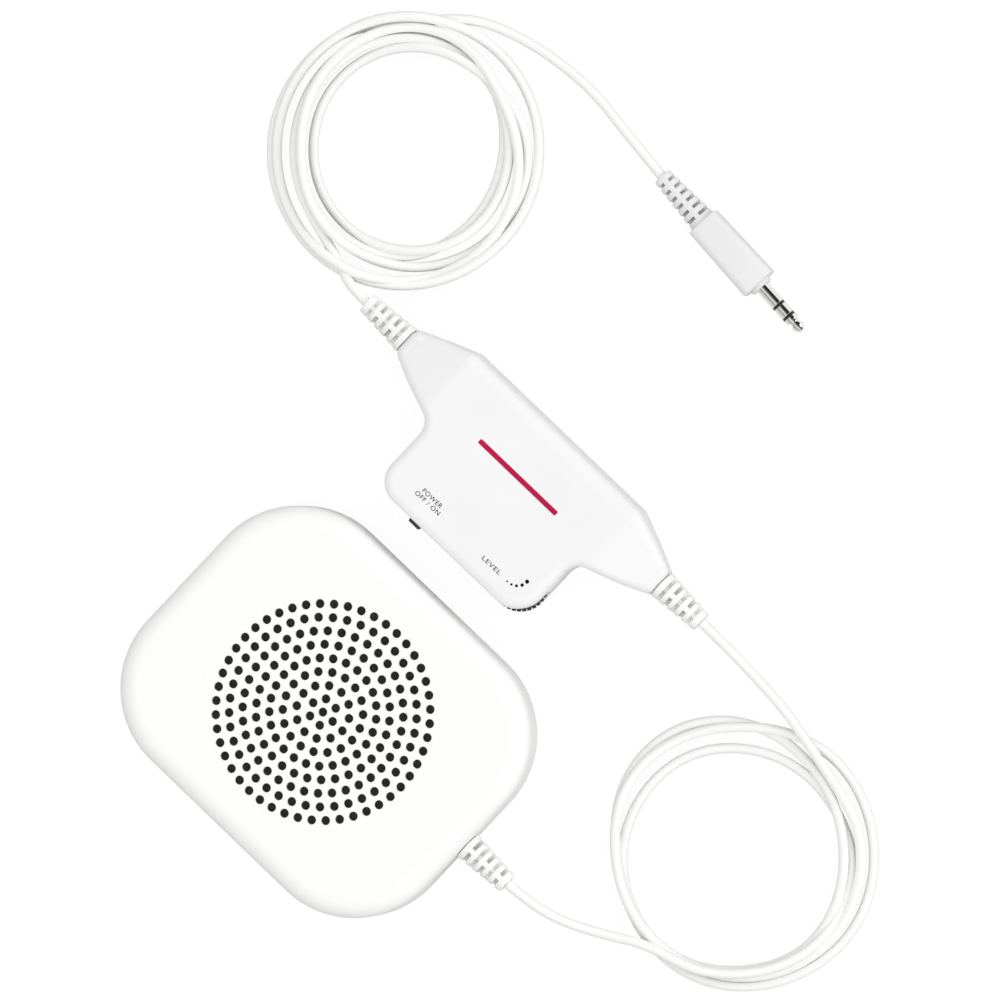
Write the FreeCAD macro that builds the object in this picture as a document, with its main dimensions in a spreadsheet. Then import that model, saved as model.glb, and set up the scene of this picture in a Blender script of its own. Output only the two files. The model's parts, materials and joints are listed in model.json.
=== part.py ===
import FreeCAD, Part
import math
import os
import Sketcher
from FreeCAD import Placement, Rotation, Vector
from types import SimpleNamespace

# Pillow speaker with an in-line amplifier, millimetres.
# The origin is the centre of the speaker's flat back. +Z goes up through the grille, +X goes
# along the case to its cord exit, and +Y goes across to the amplifier, which lies beside it.

os.makedirs("parts", exist_ok=True)
doc = FreeCAD.newDocument("pillow_speaker")
sheet = doc.addObject("Spreadsheet::Sheet", "sizes")

# Driving dimensions: name, millimetres, meaning
SIZES = (
    ("case_length", 90.0, "speaker case, along X"),
    ("case_width", 73.0, "speaker case, along Y"),
    ("case_height", 18.0, "speaker case, back to front"),
    ("case_corner", 23.0, "plan radius of the case corners"),
    ("case_wall", 1.6, "wall of both case shells"),
    ("case_front_edge", 4.5, "rounding of the front edge"),
    ("case_back_edge", 3.0, "rounding of the back edge"),
    ("case_split", 9.0, "height of the joint between the shells"),
    ("lip_height", 1.2, "tongue of the rear shell inside the front shell"),
    ("lip_thickness", 0.8, "wall of that tongue"),
    ("lip_gap", 0.1, "tongue to front shell"),
    ("hole_diameter", 2.15, "grille hole"),
    ("hole_pitch", 3.15, "from one ring of grille holes to the next"),
    ("case_screw_x", 33.0, "case screw from the middle, along X"),
    ("case_screw_y", 24.0, "case screw from the middle, along Y"),
    ("post_radius", 2.8, "screw post"),
    ("screw_radius", 1.1, "thread of every case screw"),
    ("screw_head_radius", 2.1, "head of every case screw"),
    ("screw_head_height", 1.4, "head of every case screw"),
    ("screw_length", 11.0, "thread of every case screw"),
    ("pilot_room", 0.4, "pilot hole beyond the thread"),
    ("screw_sink", 1.0, "depth of the sunk screw heads"),
    ("recess_gap", 0.3, "screw head to its recess"),
    ("driver_radius", 28.5, "flange of the loudspeaker basket"),
    ("flange_width", 3.5, "flat flange of the basket"),
    ("steel", 0.6, "sheet of the basket"),
    ("cloth_thickness", 0.4, "cloth behind the grille"),
    ("gasket_thickness", 0.8, "ring between basket and cloth"),
    ("film", 0.3, "paper and cloth of the moving parts"),
    ("cone_radius", 20.4, "outer edge of the cone"),
    ("coil_radius", 3.8, "outside of the voice coil"),
    ("coil_wall", 0.35, "wall of the voice coil"),
    ("coil_overhang", 0.4, "voice coil below the front plate"),
    ("magnet_gap", 0.4, "voice coil to the steel on each side"),
    ("cone_lift", 0.9, "foot of the cone above the ledge"),
    ("cone_neck", 0.8, "straight neck of the cone"),
    ("rim_land", 1.2, "flat rim of the cone"),
    ("edge_gap", 0.3, "surround's roll to the basket"),
    ("wall_drop", 2.6, "steep part of the basket's wall"),
    ("wall_lean", 0.4, "how far the steep part leans in"),
    ("cap_radius", 5.6, "dust cap"),
    ("cap_rise", 1.8, "height of the dust cap"),
    ("spider_radius", 12.4, "outer edge of the spider"),
    ("ledge_width", 2.2, "ledge that holds the spider"),
    ("ledge_rise", 1.8, "ledge above the basket floor"),
    ("cup_depth", 4.0, "flange above the ledge"),
    ("throat", 1.0, "hole in the basket's floor beyond the coil's gap"),
    ("spider_land", 0.6, "flat edges of the spider"),
    ("spider_inset", 0.4, "spider to the outside of its ledge"),
    ("plate_radius", 9.6, "magnet's front plate"),
    ("plate_thickness", 1.2, "magnet's front plate"),
    ("magnet_radius", 11.0, "ring magnet"),
    ("magnet_bore", 5.4, "ring magnet"),
    ("magnet_height", 2.8, "ring magnet"),
    ("yoke_thickness", 1.4, "steel plate behind the magnet"),
    ("window_radius", 2.2, "openings in the basket wall"),
    ("rim_gap", 0.25, "basket to the ring that locates it"),
    ("rim_wall", 1.3, "ring that locates the basket"),
    ("strip_length", 8.0, "terminal strip, outwards"),
    ("strip_width", 10.0, "terminal strip, across"),
    ("strip_thickness", 1.0, "terminal strip"),
    ("strip_inset", 0.4, "terminal strip to the basket's wall"),
    ("lug_height", 1.6, "solder lugs on the strip"),
    ("lug_width", 1.6, "solder lugs on the strip"),
    ("lug_thickness", 0.4, "solder lugs on the strip"),
    ("lug_inset", 1.2, "solder lugs to the end of the strip"),
    ("boot_length", 13.0, "strain relief outside its case"),
    ("boot_root", 3.55, "radius of the strain relief at the case"),
    ("boot_end", 2.55, "radius of the strain relief at the cord"),
    ("boot_first", 2.16, "case to the middle of the first slot"),
    ("boot_pitch", 2.17, "slot to slot"),
    ("boot_slot", 1.0, "width of a slot"),
    ("boot_web", 2.5, "web left between two slots"),
    ("neck_radius", 2.1, "strain relief where it passes through a wall"),
    ("boot_seam", 0.12, "gap between case and strain relief"),
    ("anchor_radius", 2.8, "flange that holds the strain relief inside"),
    ("anchor_length", 1.4, "flange that holds the strain relief inside"),
    ("anchor_gap", 0.1, "flange to its pocket"),
    ("cord_radius", 1.175, "both free cords"),
    ("lead_radius", 0.6, "inner leads"),
    ("amp_x", -5.0, "middle of the amplifier"),
    ("amp_y", 75.3, "cord axis of the amplifier"),
    ("amp_length", 82.0, "between the two strain reliefs"),
    ("amp_height", 16.0, "amplifier, back to front"),
    ("amp_wall", 1.5, "wall of both amplifier shells"),
    ("amp_edge", 2.2, "rounding of the amplifier's edges"),
    ("amp_nose", 3.55, "half width of the narrow ends"),
    ("amp_nose_rise", 3.7, "half height of the narrow ends"),
    ("amp_shoulder_x", 34.0, "bend of the tapered ends, from the middle"),
    ("amp_shoulder_y", 6.5, "bend of the tapered ends, from the cord axis"),
    ("amp_crease", 26.5, "where the flat top ends, from the middle"),
    ("amp_side", 9.3, "straight side, from the cord axis"),
    ("bump_half", 23.35, "half width of the deep side"),
    ("bump_root", 10.0, "where the deep side leaves the taper"),
    ("bump_depth", 28.8, "deep side, from the cord axis"),
    ("bump_corner", 6.0, "plan radius of the plain corner"),
    ("wheel_corner", 7.0, "plan radius of the corner at the wheel"),
    ("bump_fillet", 4.5, "hollow radius beside the deep side"),
    ("cell_radius", 5.25, "AAA cell"),
    ("cell_length", 43.7, "AAA cell without its nub"),
    ("nub_length", 0.8, "nub of the cell"),
    ("nub_radius", 1.9, "nub of the cell"),
    ("bay_gap", 0.4, "cell to the partition"),
    ("cell_y", 1.6, "AAA cell, from the cord axis"),
    ("cell_gap", 0.25, "cell to door and ribs"),
    ("contact_thickness", 0.35, "battery contact strip"),
    ("contact_height", 7.0, "battery contact strip"),
    ("contact_width", 8.0, "battery contact strip"),
    ("bow_foot", 2.6, "half width of the bow at the strip"),
    ("bow_head", 0.8, "half width of the bow at the cell"),
    ("bow", 1.2, "bow of the sprung contacts"),
    ("rib", 1.0, "inner ribs and partitions"),
    ("door_half", 20.3, "battery door, half length"),
    ("door_depth", 3.4, "battery door, inner edge from the cord axis"),
    ("door_lip", 3.6, "height of the door's outer lip"),
    ("door_thickness", 1.2, "battery door"),
    ("door_recess", 0.2, "door face above the table"),
    ("door_gap", 0.2, "door to its opening"),
    ("board_thickness", 1.0, "circuit board"),
    ("board_height", 4.0, "underside of the board above the table"),
    ("board_half", 21.3, "circuit board, half length"),
    ("board_back", 7.2, "near edge of the board, from the cord axis"),
    ("board_edge_gap", 0.35, "board to the outer wall"),
    ("wheel_x", 17.25, "volume wheel, from the middle"),
    ("wheel_y", 22.6, "volume wheel, from the cord axis"),
    ("wheel_radius", 6.5, "volume wheel, over its teeth"),
    ("wheel_tooth", 0.55, "depth of the wheel's teeth"),
    ("notch_root", 0.45, "width between two teeth at their root"),
    ("notch_mouth", 0.9, "width between two teeth, 1 mm outside the wheel"),
    ("wheel_thickness", 2.8, "volume wheel"),
    ("wheel_gap", 0.4, "wheel to its slot"),
    ("shaft_radius", 1.5, "shaft of the potentiometer"),
    ("shaft_gap", 0.06, "shaft to wheel, on the radius"),
    ("pot_radius", 3.8, "potentiometer"),
    ("pot_gap", 0.3, "potentiometer to wheel"),
    ("wheel_screw_head", 2.4, "screw that holds the wheel"),
    ("wheel_screw_height", 0.8, "screw that holds the wheel"),
    ("wheel_screw_thread", 0.7, "screw that holds the wheel"),
    ("wheel_screw_length", 2.0, "screw that holds the wheel"),
    ("knob_x", -10.4, "switch knob, from the middle"),
    ("knob_width", 3.3, "switch knob, along X"),
    ("knob_height", 2.4, "switch knob"),
    ("knob_proud", 0.7, "switch knob beyond the wall"),
    ("knob_travel", 2.0, "switch knob"),
    ("knob_gap", 0.25, "switch knob to its slot"),
    ("knob_groove", 0.5, "grooves in the switch knob"),
    ("stalk_width", 1.6, "stalk of the switch knob"),
    ("switch_length", 8.6, "slide switch"),
    ("switch_depth", 3.4, "slide switch"),
    ("switch_wall", 0.4, "can of the slide switch"),
    ("switch_seat", 0.4, "slide switch to the wall"),
    ("chip_length", 5.0, "amplifier chip"),
    ("chip_width", 3.9, "amplifier chip"),
    ("chip_height", 1.5, "amplifier chip"),
    ("chip_x", -3.4, "amplifier chip, from the middle"),
    ("chip_y", 19.2, "amplifier chip, from the cord axis"),
    ("lead_reach", 0.9, "legs of the chip"),
    ("leg_width", 0.4, "legs of the chip"),
    ("leg_thickness", 0.4, "legs of the chip"),
    ("can_radius", 2.0, "capacitor"),
    ("can_height", 5.4, "capacitor"),
    ("can_pitch", 4.6, "capacitor to capacitor"),
    ("can_x", 1.6, "first capacitor, from the middle"),
    ("can_y", 17.6, "capacitors, from the cord axis"),
    ("amp_screw_x", -17.6, "first amplifier screw, from the middle"),
    ("amp_screw_y", 19.2, "first amplifier screw, from the cord axis"),
    ("amp_screw_x2", 5.6, "second amplifier screw, from the middle"),
    ("amp_screw_y2", 23.4, "second amplifier screw, from the cord axis"),
    ("taper_room_x", 35.0, "hollow of the tapered ends, from the middle"),
    ("taper_room_y", 4.4, "hollow of the tapered ends, half width"),
    ("taper_room_z", 3.6, "hollow of the tapered ends, from the joint"),
    ("board_post", 1.4, "posts under the board, radius"),
    ("rest_x", 17.5, "board posts, from the middle"),
    ("rest_y", 12.0, "board posts, from the cord axis"),
    ("rest_y2", 11.0, "board post beside the wheel, from the cord axis"),
    ("post_gap", 0.3, "post to the hole in the board"),
    ("plug_x", 5.4, "front face of the plug's moulding"),
    ("plug_y", 141.25, "front face of the plug's moulding"),
    ("plug_turn", -4.2, "degrees from +X to the plug's axis"),
    ("plug_length", 20.5, "grip of the plug"),
    ("plug_width", 8.8, "grip of the plug"),
    ("plug_height", 8.0, "grip of the plug"),
    ("plug_round", 2.2, "edges of the grip"),
    ("plug_boot", 14.3, "bend relief of the plug"),
    ("plug_boot_root", 3.35, "bend relief at the grip, radius"),
    ("plug_boot_end", 2.6, "bend relief at the cord, radius"),
    ("plug_slot_pitch", 2.07, "slot to slot"),
    ("plug_slot", 0.95, "width of a slot"),
    ("plug_slot_first", 1.7, "cord end to the middle of the first slot"),
    ("plug_web", 2.2, "web between two slots"),
    ("collar_radius", 2.75, "collar in front of the grip"),
    ("collar_length", 1.0, "collar in front of the grip"),
    ("shaft_of_plug", 1.75, "radius of the 3.5 mm plug"),
    ("shaft_length", 14.0, "face of the grip to the tip"),
    ("sleeve_end", 5.45, "sleeve contact, from the grip"),
    ("ring_start", 6.15, "ring contact, from the grip"),
    ("ring_end", 8.9, "ring contact, from the grip"),
    ("tip_start", 9.6, "tip contact, from the grip"),
    ("neck_start", 10.5, "tip's straight part, from the grip"),
    ("neck_middle", 11.3, "waist of the tip, from the grip"),
    ("belly_middle", 12.3, "widest part of the tip's cone, from the grip"),
    ("tip_neck", 1.15, "waist of the tip, radius"),
    ("tip_belly", 1.6, "widest part of the tip's cone, radius"),
    ("tip_flat", 0.6, "flat end of the tip, radius"),
    ("rod_radius", 0.55, "rod inside the plug"),
    ("core_radius", 1.1, "insulating core of the plug"),
    ("stem_length", 8.0, "metal inside the grip"),
    ("stem_radius", 1.5, "metal inside the grip"),
    ("coil_height", 5.4, "height of both coils"),
    ("coil_one_x", 92.9, "speaker cord's coil"),
    ("coil_one_y", 43.0, "speaker cord's coil"),
    ("coil_one_outer", 31.6, "speaker cord's coil, outer radius"),
    ("coil_one_inner", 24.0, "speaker cord's coil, inner radius"),
    ("coil_two_x", -77.4, "plug cord's coil"),
    ("coil_two_y", 106.8, "plug cord's coil"),
    ("coil_two_outer", 33.0, "plug cord's coil, outer radius"),
    ("coil_two_inner", 21.6, "plug cord's coil, inner radius"),
)

# Holes in each ring of the grille, from the inside out, round one hole in the middle
HOLES_PER_RING = (6, 12, 18, 25, 30, 36, 41, 48)
BASKET_WINDOWS = 6
SPIDER_WAVES = 2
BOOT_SLOTS = 5
PLUG_SLOTS = 6
WHEEL_TEETH = 32
KNOB_GROOVES = 2
CHIP_LEGS = 4
CAPACITORS = 2
# Side of the bevel that stands for a rounded inside corner, as a share of its radius
OCTAGON = 2 - math.sqrt(2)

# Routes of the free cords where they are not coiled
SPEAKER_TAIL = ((58.0, 0.0, 9.0), (66.0, 0.4, 8.3), (74.0, 2.6, 6.6), (82.4, 6.8, 4.9), (91.0, 12.0, 4.1))
AMP_TAIL = ((84.0, 72.3, 4.3), (75.6, 73.9, 4.7), (66.6, 74.6, 5.8), (57.8, 75.2, 7.2), (49.0, 75.3, 8.0))
COIL_TAIL = ((-59.0, 75.3, 8.0), (-62.8, 75.3, 8.0), (-66.5, 75.85, 7.1), (-70.1, 77.25, 5.5))
PLUG_TAIL = ((-94.4, 132.6, 2.0), (-86.8, 140.2, 1.5), (-76.6, 144.2, 1.4), (-65.6, 146.4, 1.7),
             (-53.8, 147.0, 2.6), (-41.6, 145.2, 3.8), (-29.3, 143.8, 4.0))

# Routes of the inner leads, the amplifier's two from its own middle and cord axis
SPEAKER_LEAD = ((41.1, 0.0, 9.0), (38.4, 0.4, 9.5), (35.8, 0.5, 10.7), (33.6, 0.2, 12.1), (32.6, 0.0, 13.3))
INPUT_LEAD = ((38.1, 0.0, 8.0), (34.0, -0.4, 8.2), (30.4, -1.6, 8.9), (27.0, -3.6, 9.9),
              (22.6, -6.2, 10.6), (19.0, -9.2, 9.4), (17.2, -11.4, 7.4), (16.8, -12.1, 5.3))
OUTPUT_LEAD = ((-38.1, 0.0, 8.0), (-34.0, -0.4, 8.2), (-30.4, -1.6, 8.9), (-27.0, -3.6, 9.9),
               (-22.6, -6.2, 10.6), (-19.0, -8.9, 9.4), (-16.6, -10.6, 7.4), (-15.9, -11.2, 5.3))


class Size:
    """A length that holds its number and the formula that gives it from the sheet."""

    def __init__(self, number, formula):
        self.number = number
        self.formula = formula

    def join(self, other, sign, number):
        other = as_size(other)
        return Size(number, "(%s %s %s)" % (self.formula, sign, other.formula))

    def __add__(self, other):
        return self.join(other, "+", self.number + as_size(other).number)

    def __sub__(self, other):
        return self.join(other, "-", self.number - as_size(other).number)

    def __mul__(self, other):
        return self.join(other, "*", self.number * as_size(other).number)

    def __truediv__(self, other):
        return self.join(other, "/", self.number / as_size(other).number)

    def __rsub__(self, other):
        return as_size(other) - self

    def __neg__(self):
        return Size(-self.number, "(-1 * %s)" % self.formula)

    __radd__ = __add__
    __rmul__ = __mul__


def as_size(value):
    """A plain number as a Size; a Size stays as it is."""
    return value if isinstance(value, Size) else Size(float(value), "%r" % float(value))


def fill_sheet():
    """Write the driving dimensions and return them by name."""
    for row, (name, number, meaning) in enumerate(SIZES, start=1):
        sheet.set("A%d" % row, name)
        sheet.set("B%d" % row, str(number))
        sheet.set("C%d" % row, meaning)
        sheet.setAlias("B%d" % row, name)
    doc.recompute()
    return SimpleNamespace(**{name: Size(float(sheet.get(name)), "sizes." + name) for name, _, _ in SIZES})


s = fill_sheet()


# Heights that several pieces share
amp_split = s.amp_height / 2
front_face = s.case_height - s.case_wall
flange_top = front_face - s.cloth_thickness - s.gasket_thickness
ledge_top = flange_top - s.cup_depth
plate_top = ledge_top - s.ledge_rise - s.steel
magnet_top = plate_top - s.plate_thickness
yoke_top = magnet_top - s.magnet_height
flange_inner = s.driver_radius - s.flange_width
cone_seat = ledge_top + s.cone_lift
gap_inner = s.coil_radius - s.coil_wall - s.magnet_gap
gap_outer = s.coil_radius + s.magnet_gap
board_top = s.board_height + s.board_thickness
wheel_low = amp_split - s.wheel_thickness / 2
wheel_top = amp_split + s.wheel_thickness / 2
cell_low = s.door_recess + s.door_thickness + s.cell_gap
cell_axis = cell_low + s.cell_radius
cell_half = (s.cell_length + s.nub_length) / 2
contact_front = cell_half + s.bow
contact_back = contact_front + s.contact_thickness
bay_wall = s.cell_y - s.cell_radius - s.bay_gap
head_top = s.screw_sink + s.screw_head_height
thread_top = head_top + s.screw_length
inner_x = s.bump_half - s.amp_wall
inner_y = s.bump_depth - s.amp_wall
plug_axis = s.plug_height / 2
case_screws = [(sx * s.case_screw_x, sy * s.case_screw_y) for sx in (1, -1) for sy in (1, -1)]
amp_screws = [(s.amp_screw_x, -s.amp_screw_y), (s.amp_screw_x2, -s.amp_screw_y2)]
board_rests = [(-s.rest_x, -s.rest_y), (s.rest_x, -s.rest_y2), (0, -s.rest_y)]


# Placing and binding
def bind(item, prop, value):
    item.setExpression(prop, as_size(value).formula)


def move(item, x=0, y=0, z=0):
    """Bind the place of an object."""
    bind(item, "Placement.Base.x", x)
    bind(item, "Placement.Base.y", y)
    bind(item, "Placement.Base.z", z)
    return item


def turn(item, axis, angle):
    item.Placement = Placement(item.Placement.Base, Rotation(Vector(*axis), angle))
    return item


# Primitives and booleans
def box(name, low, high):
    """A block between two corners."""
    item = doc.addObject("Part::Box", name)
    for prop, a, b in zip(("Length", "Width", "Height"), low, high):
        bind(item, prop, as_size(b) - a)
    return move(item, *low)


def cylinder(name, radius, low, high, x=0, y=0):
    """An upright cylinder from one height to another."""
    item = doc.addObject("Part::Cylinder", name)
    bind(item, "Radius", radius)
    bind(item, "Height", as_size(high) - low)
    return move(item, x, y, low)


def cone(name, low_radius, high_radius, low, high):
    item = doc.addObject("Part::Cone", name)
    bind(item, "Radius1", low_radius)
    bind(item, "Radius2", high_radius)
    bind(item, "Height", as_size(high) - low)
    return move(item, z=low)


def fuse(name, items):
    item = doc.addObject("Part::MultiFuse", name)
    item.Shapes = items
    return item


def cut(name, base, tool):
    item = doc.addObject("Part::Cut", name)
    item.Base = base
    item.Tool = tool
    return item


def group(name, items):
    """Separate solids that are kept as one piece."""
    item = doc.addObject("Part::Compound", name)
    item.Links = items
    return item


# Bodies
def body(name):
    return doc.addObject("PartDesign::Body", name)


def sketch(host, name, role="XY_Plane", offset=0):
    """A sketch on one of the body's own origin planes."""
    item = host.newObject("Sketcher::SketchObject", name)
    plane = [entry for entry in host.Origin.OriginFeatures if entry.Role == role][0]
    item.AttachmentSupport = [(plane, "")]
    item.MapMode = "FlatFace"
    bind(item, "AttachmentOffset.Base.z", offset)
    return item


def pin_point(item, line, end, u, v):
    """Fix one end of a sketch line at (u, v) from the sketch's origin."""
    for kind, value, axis in (("DistanceX", u, -2), ("DistanceY", v, -1)):
        value = as_size(value)
        if abs(value.number) < 1e-9:
            item.addConstraint(Sketcher.Constraint("PointOnObject", line, end, axis))
        else:
            index = item.addConstraint(Sketcher.Constraint(kind, -1, 1, line, end, value.number))
            item.setExpression("Constraints[%d]" % index, value.formula)


def outline(item, points):
    """A closed polygon, each corner fixed by its two distances."""
    numbers = [Vector(as_size(u).number, as_size(v).number, 0) for u, v in points]
    count = len(points)
    lines = [item.addGeometry(Part.LineSegment(numbers[i], numbers[(i + 1) % count]), False)
             for i in range(count)]
    for i in range(count):
        item.addConstraint(Sketcher.Constraint("Coincident", lines[i], 2, lines[(i + 1) % count], 1))
    for line, (u, v) in zip(lines, points):
        pin_point(item, line, 1, u, v)
    return item


def rectangle(item, u0, u1, v0, v1):
    return outline(item, ((u0, v0), (u1, v0), (u1, v1), (u0, v1)))


def circle(item, radius, u=0, v=0):
    """A circle, its centre fixed by its two distances."""
    centre = Vector(as_size(u).number, as_size(v).number, 0)
    radius = as_size(radius)
    ring = item.addGeometry(Part.Circle(centre, Vector(0, 0, 1), radius.number), False)
    index = item.addConstraint(Sketcher.Constraint("Radius", ring, radius.number))
    item.setExpression("Constraints[%d]" % index, radius.formula)
    pin_point(item, ring, 3, u, v)
    return item


def rounded_rectangle(item, half_x, half_y, radius):
    """A rectangle about the sketch's origin with arcs at its corners."""
    half_x, half_y, radius = as_size(half_x), as_size(half_y), as_size(radius)
    in_x, in_y = half_x - radius, half_y - radius
    ends = [((-in_x, -half_y), (in_x, -half_y)), ((half_x, -in_y), (half_x, in_y)),
            ((in_x, half_y), (-in_x, half_y)), ((-half_x, in_y), (-half_x, -in_y))]
    lines = []
    for (u0, v0), (u1, v1) in ends:
        line = item.addGeometry(Part.LineSegment(Vector(u0.number, v0.number, 0),
                                                 Vector(u1.number, v1.number, 0)), False)
        pin_point(item, line, 1, u0, v0)
        pin_point(item, line, 2, u1, v1)
        lines.append(line)
    centres = [(in_x, -in_y), (in_x, in_y), (-in_x, in_y), (-in_x, -in_y)]
    for number, (u, v) in enumerate(centres):
        start = (number - 1) * math.pi / 2
        ring = Part.Circle(Vector(u.number, v.number, 0), Vector(0, 0, 1), radius.number)
        arc = item.addGeometry(Part.ArcOfCircle(ring, start, start + math.pi / 2), False)
        item.addConstraint(Sketcher.Constraint("Coincident", lines[number], 2, arc, 1))
        item.addConstraint(Sketcher.Constraint("Coincident", arc, 2, lines[(number + 1) % 4], 1))
        index = item.addConstraint(Sketcher.Constraint("Radius", arc, radius.number))
        item.setExpression("Constraints[%d]" % index, radius.formula)
    return item


def circles(host, name, spots, radius, offset=0):
    """One sketch with the same circle at several places."""
    item = sketch(host, name, offset=offset)
    for x, y in spots:
        circle(item, radius, x, y)
    return item


def pad(host, name, profile, length):
    item = host.newObject("PartDesign::Pad", name)
    item.Profile = profile
    bind(item, "Length", length)
    profile.Visibility = False
    doc.recompute()
    return item


def pocket(host, name, profile, length, along=False):
    """Cut against the sketch's normal, or along it; it must take something away."""
    before = host.Shape.Volume
    item = host.newObject("PartDesign::Pocket", name)
    item.Profile = profile
    item.Reversed = along
    bind(item, "Length", length)
    doc.recompute()
    if not item.Shape.Volume < before:
        raise ValueError("%s cuts nothing" % name)
    return item


def fillet(host, name, base, radius, wanted):
    """Round the edges of the last feature that a test picks out."""
    names = ["Edge%d" % (i + 1) for i, edge in enumerate(base.Shape.Edges) if wanted(edge)]
    item = host.newObject("PartDesign::Fillet", name)
    item.Base = (base, names)
    bind(item, "Radius", radius)
    doc.recompute()
    if "Invalid" in item.State or item.Shape.isNull():
        raise ValueError("%s can't round %d edges" % (name, len(names)))
    return item


def ring_of(host, name, feature, count):
    """Repeat a feature round the body's Z axis."""
    axis = [entry for entry in host.Origin.OriginFeatures if entry.Role == "Z_Axis"][0]
    item = host.newObject("PartDesign::PolarPattern", name)
    item.Originals = [feature]
    item.Axis = (axis, [""])
    item.Angle = 360
    item.Occurrences = count
    host.Tip = item
    doc.recompute()
    return item


def turned(name, profile):
    """A body of revolution about Z, from a polygon of (radius, height) corners."""
    host = body(name)
    shape = outline(sketch(host, name + "_profile", "XZ_Plane"), profile)
    item = host.newObject("PartDesign::Revolution", name + "_turn")
    item.Profile = shape
    item.ReferenceAxis = (shape, ["V_Axis"])
    item.Angle = 360
    doc.recompute()
    return host


def round_corners(host, name, base, radius, spots):
    """Round the upright edges that stand at the given places."""
    numbers = [(as_size(x).number, as_size(y).number) for x, y in spots]

    def wanted(edge):
        room = edge.BoundBox
        return room.ZLength > 0.1 and any(
            abs(room.XMin - x) + abs(room.XMax - x) + abs(room.YMin - y) + abs(room.YMax - y) < 0.01
            for x, y in numbers)
    return fillet(host, name, base, radius, wanted)


def at_height(level):
    """Pick the edges that lie in one horizontal plane."""
    level = as_size(level).number
    return lambda edge: abs(edge.BoundBox.ZMin - level) < 0.01 and edge.BoundBox.ZLength < 0.01


# Soft pieces
def tube_path(points):
    """Straight runs joined by tangent arcs, as large as the two runs at each point allow."""
    spots = [Vector(*point) for point in points]
    edges, radii, start = [], [], spots[0]
    for before, corner, after in zip(spots, spots[1:], spots[2:]):
        back, ahead = before - corner, after - corner
        half_turn = (math.pi - back.getAngle(ahead)) / 2
        reach = 0.45 * min(back.Length, ahead.Length)
        back.normalize()
        ahead.normalize()
        first, last = corner + back * reach, corner + ahead * reach
        bisector = (back + ahead).normalize()
        radius = reach / math.tan(half_turn)
        middle = corner + bisector * (radius / math.cos(half_turn) - radius)
        edges.append(Part.LineSegment(start, first).toShape())
        edges.append(Part.Arc(first, middle, last).toShape())
        radii.append(radius)
        start = last
    edges.append(Part.LineSegment(start, spots[-1]).toShape())
    return Part.Wire(edges), radii


def tube(name, points, radius):
    """A round tube along a route; its volume is compared with section times length."""
    path, radii = tube_path(points)
    start = Vector(*points[0])
    heading = Vector(*points[1]) - start
    section = Part.Wire([Part.Circle(start, heading, radius.number).toShape()])
    item = doc.addObject("Part::Feature", name)
    item.Shape = path.makePipeShell([section], True, True)
    ratio = item.Shape.Volume / (math.pi * radius.number ** 2 * path.Length)
    print("%s: length %.1f, volume ratio %.4f, radii %s"
          % (name, path.Length, ratio, " ".join("%.1f" % value for value in radii)))
    return item


def coil_solid(name, x, y, outer, inner, height):
    """The outer shape of a coil of cord: a flat ring on the table."""
    return cut(name, cylinder(name + "_outer", outer, 0, height, x, y),
               cylinder(name + "_eye", inner, -1, height + 1, x, y))


# Speaker case
def case_half(name, depth, edge):
    """A shallow tray with round corners, open at its own z = 0, its closed face at depth."""
    host = body(name)
    half_x, half_y = s.case_length / 2, s.case_width / 2
    plan = rounded_rectangle(sketch(host, name + "_plan"), half_x, half_y, s.case_corner)
    block = pad(host, name + "_block", plan, depth)
    fillet(host, name + "_edge", block, edge, at_height(depth))
    room = rounded_rectangle(sketch(host, name + "_room"), half_x - s.case_wall,
                             half_y - s.case_wall, s.case_corner - s.case_wall)
    hollow = pocket(host, name + "_hollow", room, depth - s.case_wall, along=True)
    fillet(host, name + "_inner_edge", hollow, edge - s.case_wall, at_height(depth - s.case_wall))
    return host


def boot_hole(host, name, wall, reach):
    """The hole for a strain relief's neck, in the end wall that stands at X = wall."""
    spot = circle(sketch(host, name, "YZ_Plane", wall - reach), s.neck_radius)
    return pocket(host, name + "_cut", spot, reach * 2, along=True)


def front_shell():
    """Front of the speaker case, with the grille's holes and the ring that locates the driver."""
    name = "speaker_front_shell"
    depth = s.case_height - s.case_split
    inside = depth - s.case_wall
    host = case_half(name, depth, s.case_front_edge)
    posts = circles(host, name + "_posts", case_screws, s.post_radius)
    pad(host, name + "_post", posts, inside + s.case_wall / 2)
    pilots = circles(host, name + "_pilots", case_screws, s.screw_radius)
    pocket(host, name + "_pilot", pilots, thread_top + s.pilot_room - s.case_split, along=True)
    rim_low = flange_top - s.steel - s.case_split
    rim = circle(sketch(host, name + "_rim", offset=rim_low), s.driver_radius + s.rim_gap)
    circle(rim, s.driver_radius + s.rim_gap + s.rim_wall)
    pad(host, name + "_ring", rim, inside - rim_low + s.case_wall / 2)
    boot_hole(host, name + "_boot_hole", s.case_length / 2, s.case_wall + 1)
    middle = circle(sketch(host, name + "_hole", offset=inside - 1), s.hole_diameter / 2)
    pocket(host, name + "_hole_cut", middle, s.case_wall + 2, along=True)
    for number, count in enumerate(HOLES_PER_RING, start=1):
        label = "%s_hole_%d" % (name, number)
        spot = circle(sketch(host, label, offset=inside - 1), s.hole_diameter / 2, -s.hole_pitch * number)
        hole = pocket(host, label + "_cut", spot, s.case_wall + 2, along=True)
        ring_of(host, label + "_ring", hole, count)
    return move(host, z=s.case_split)


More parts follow.
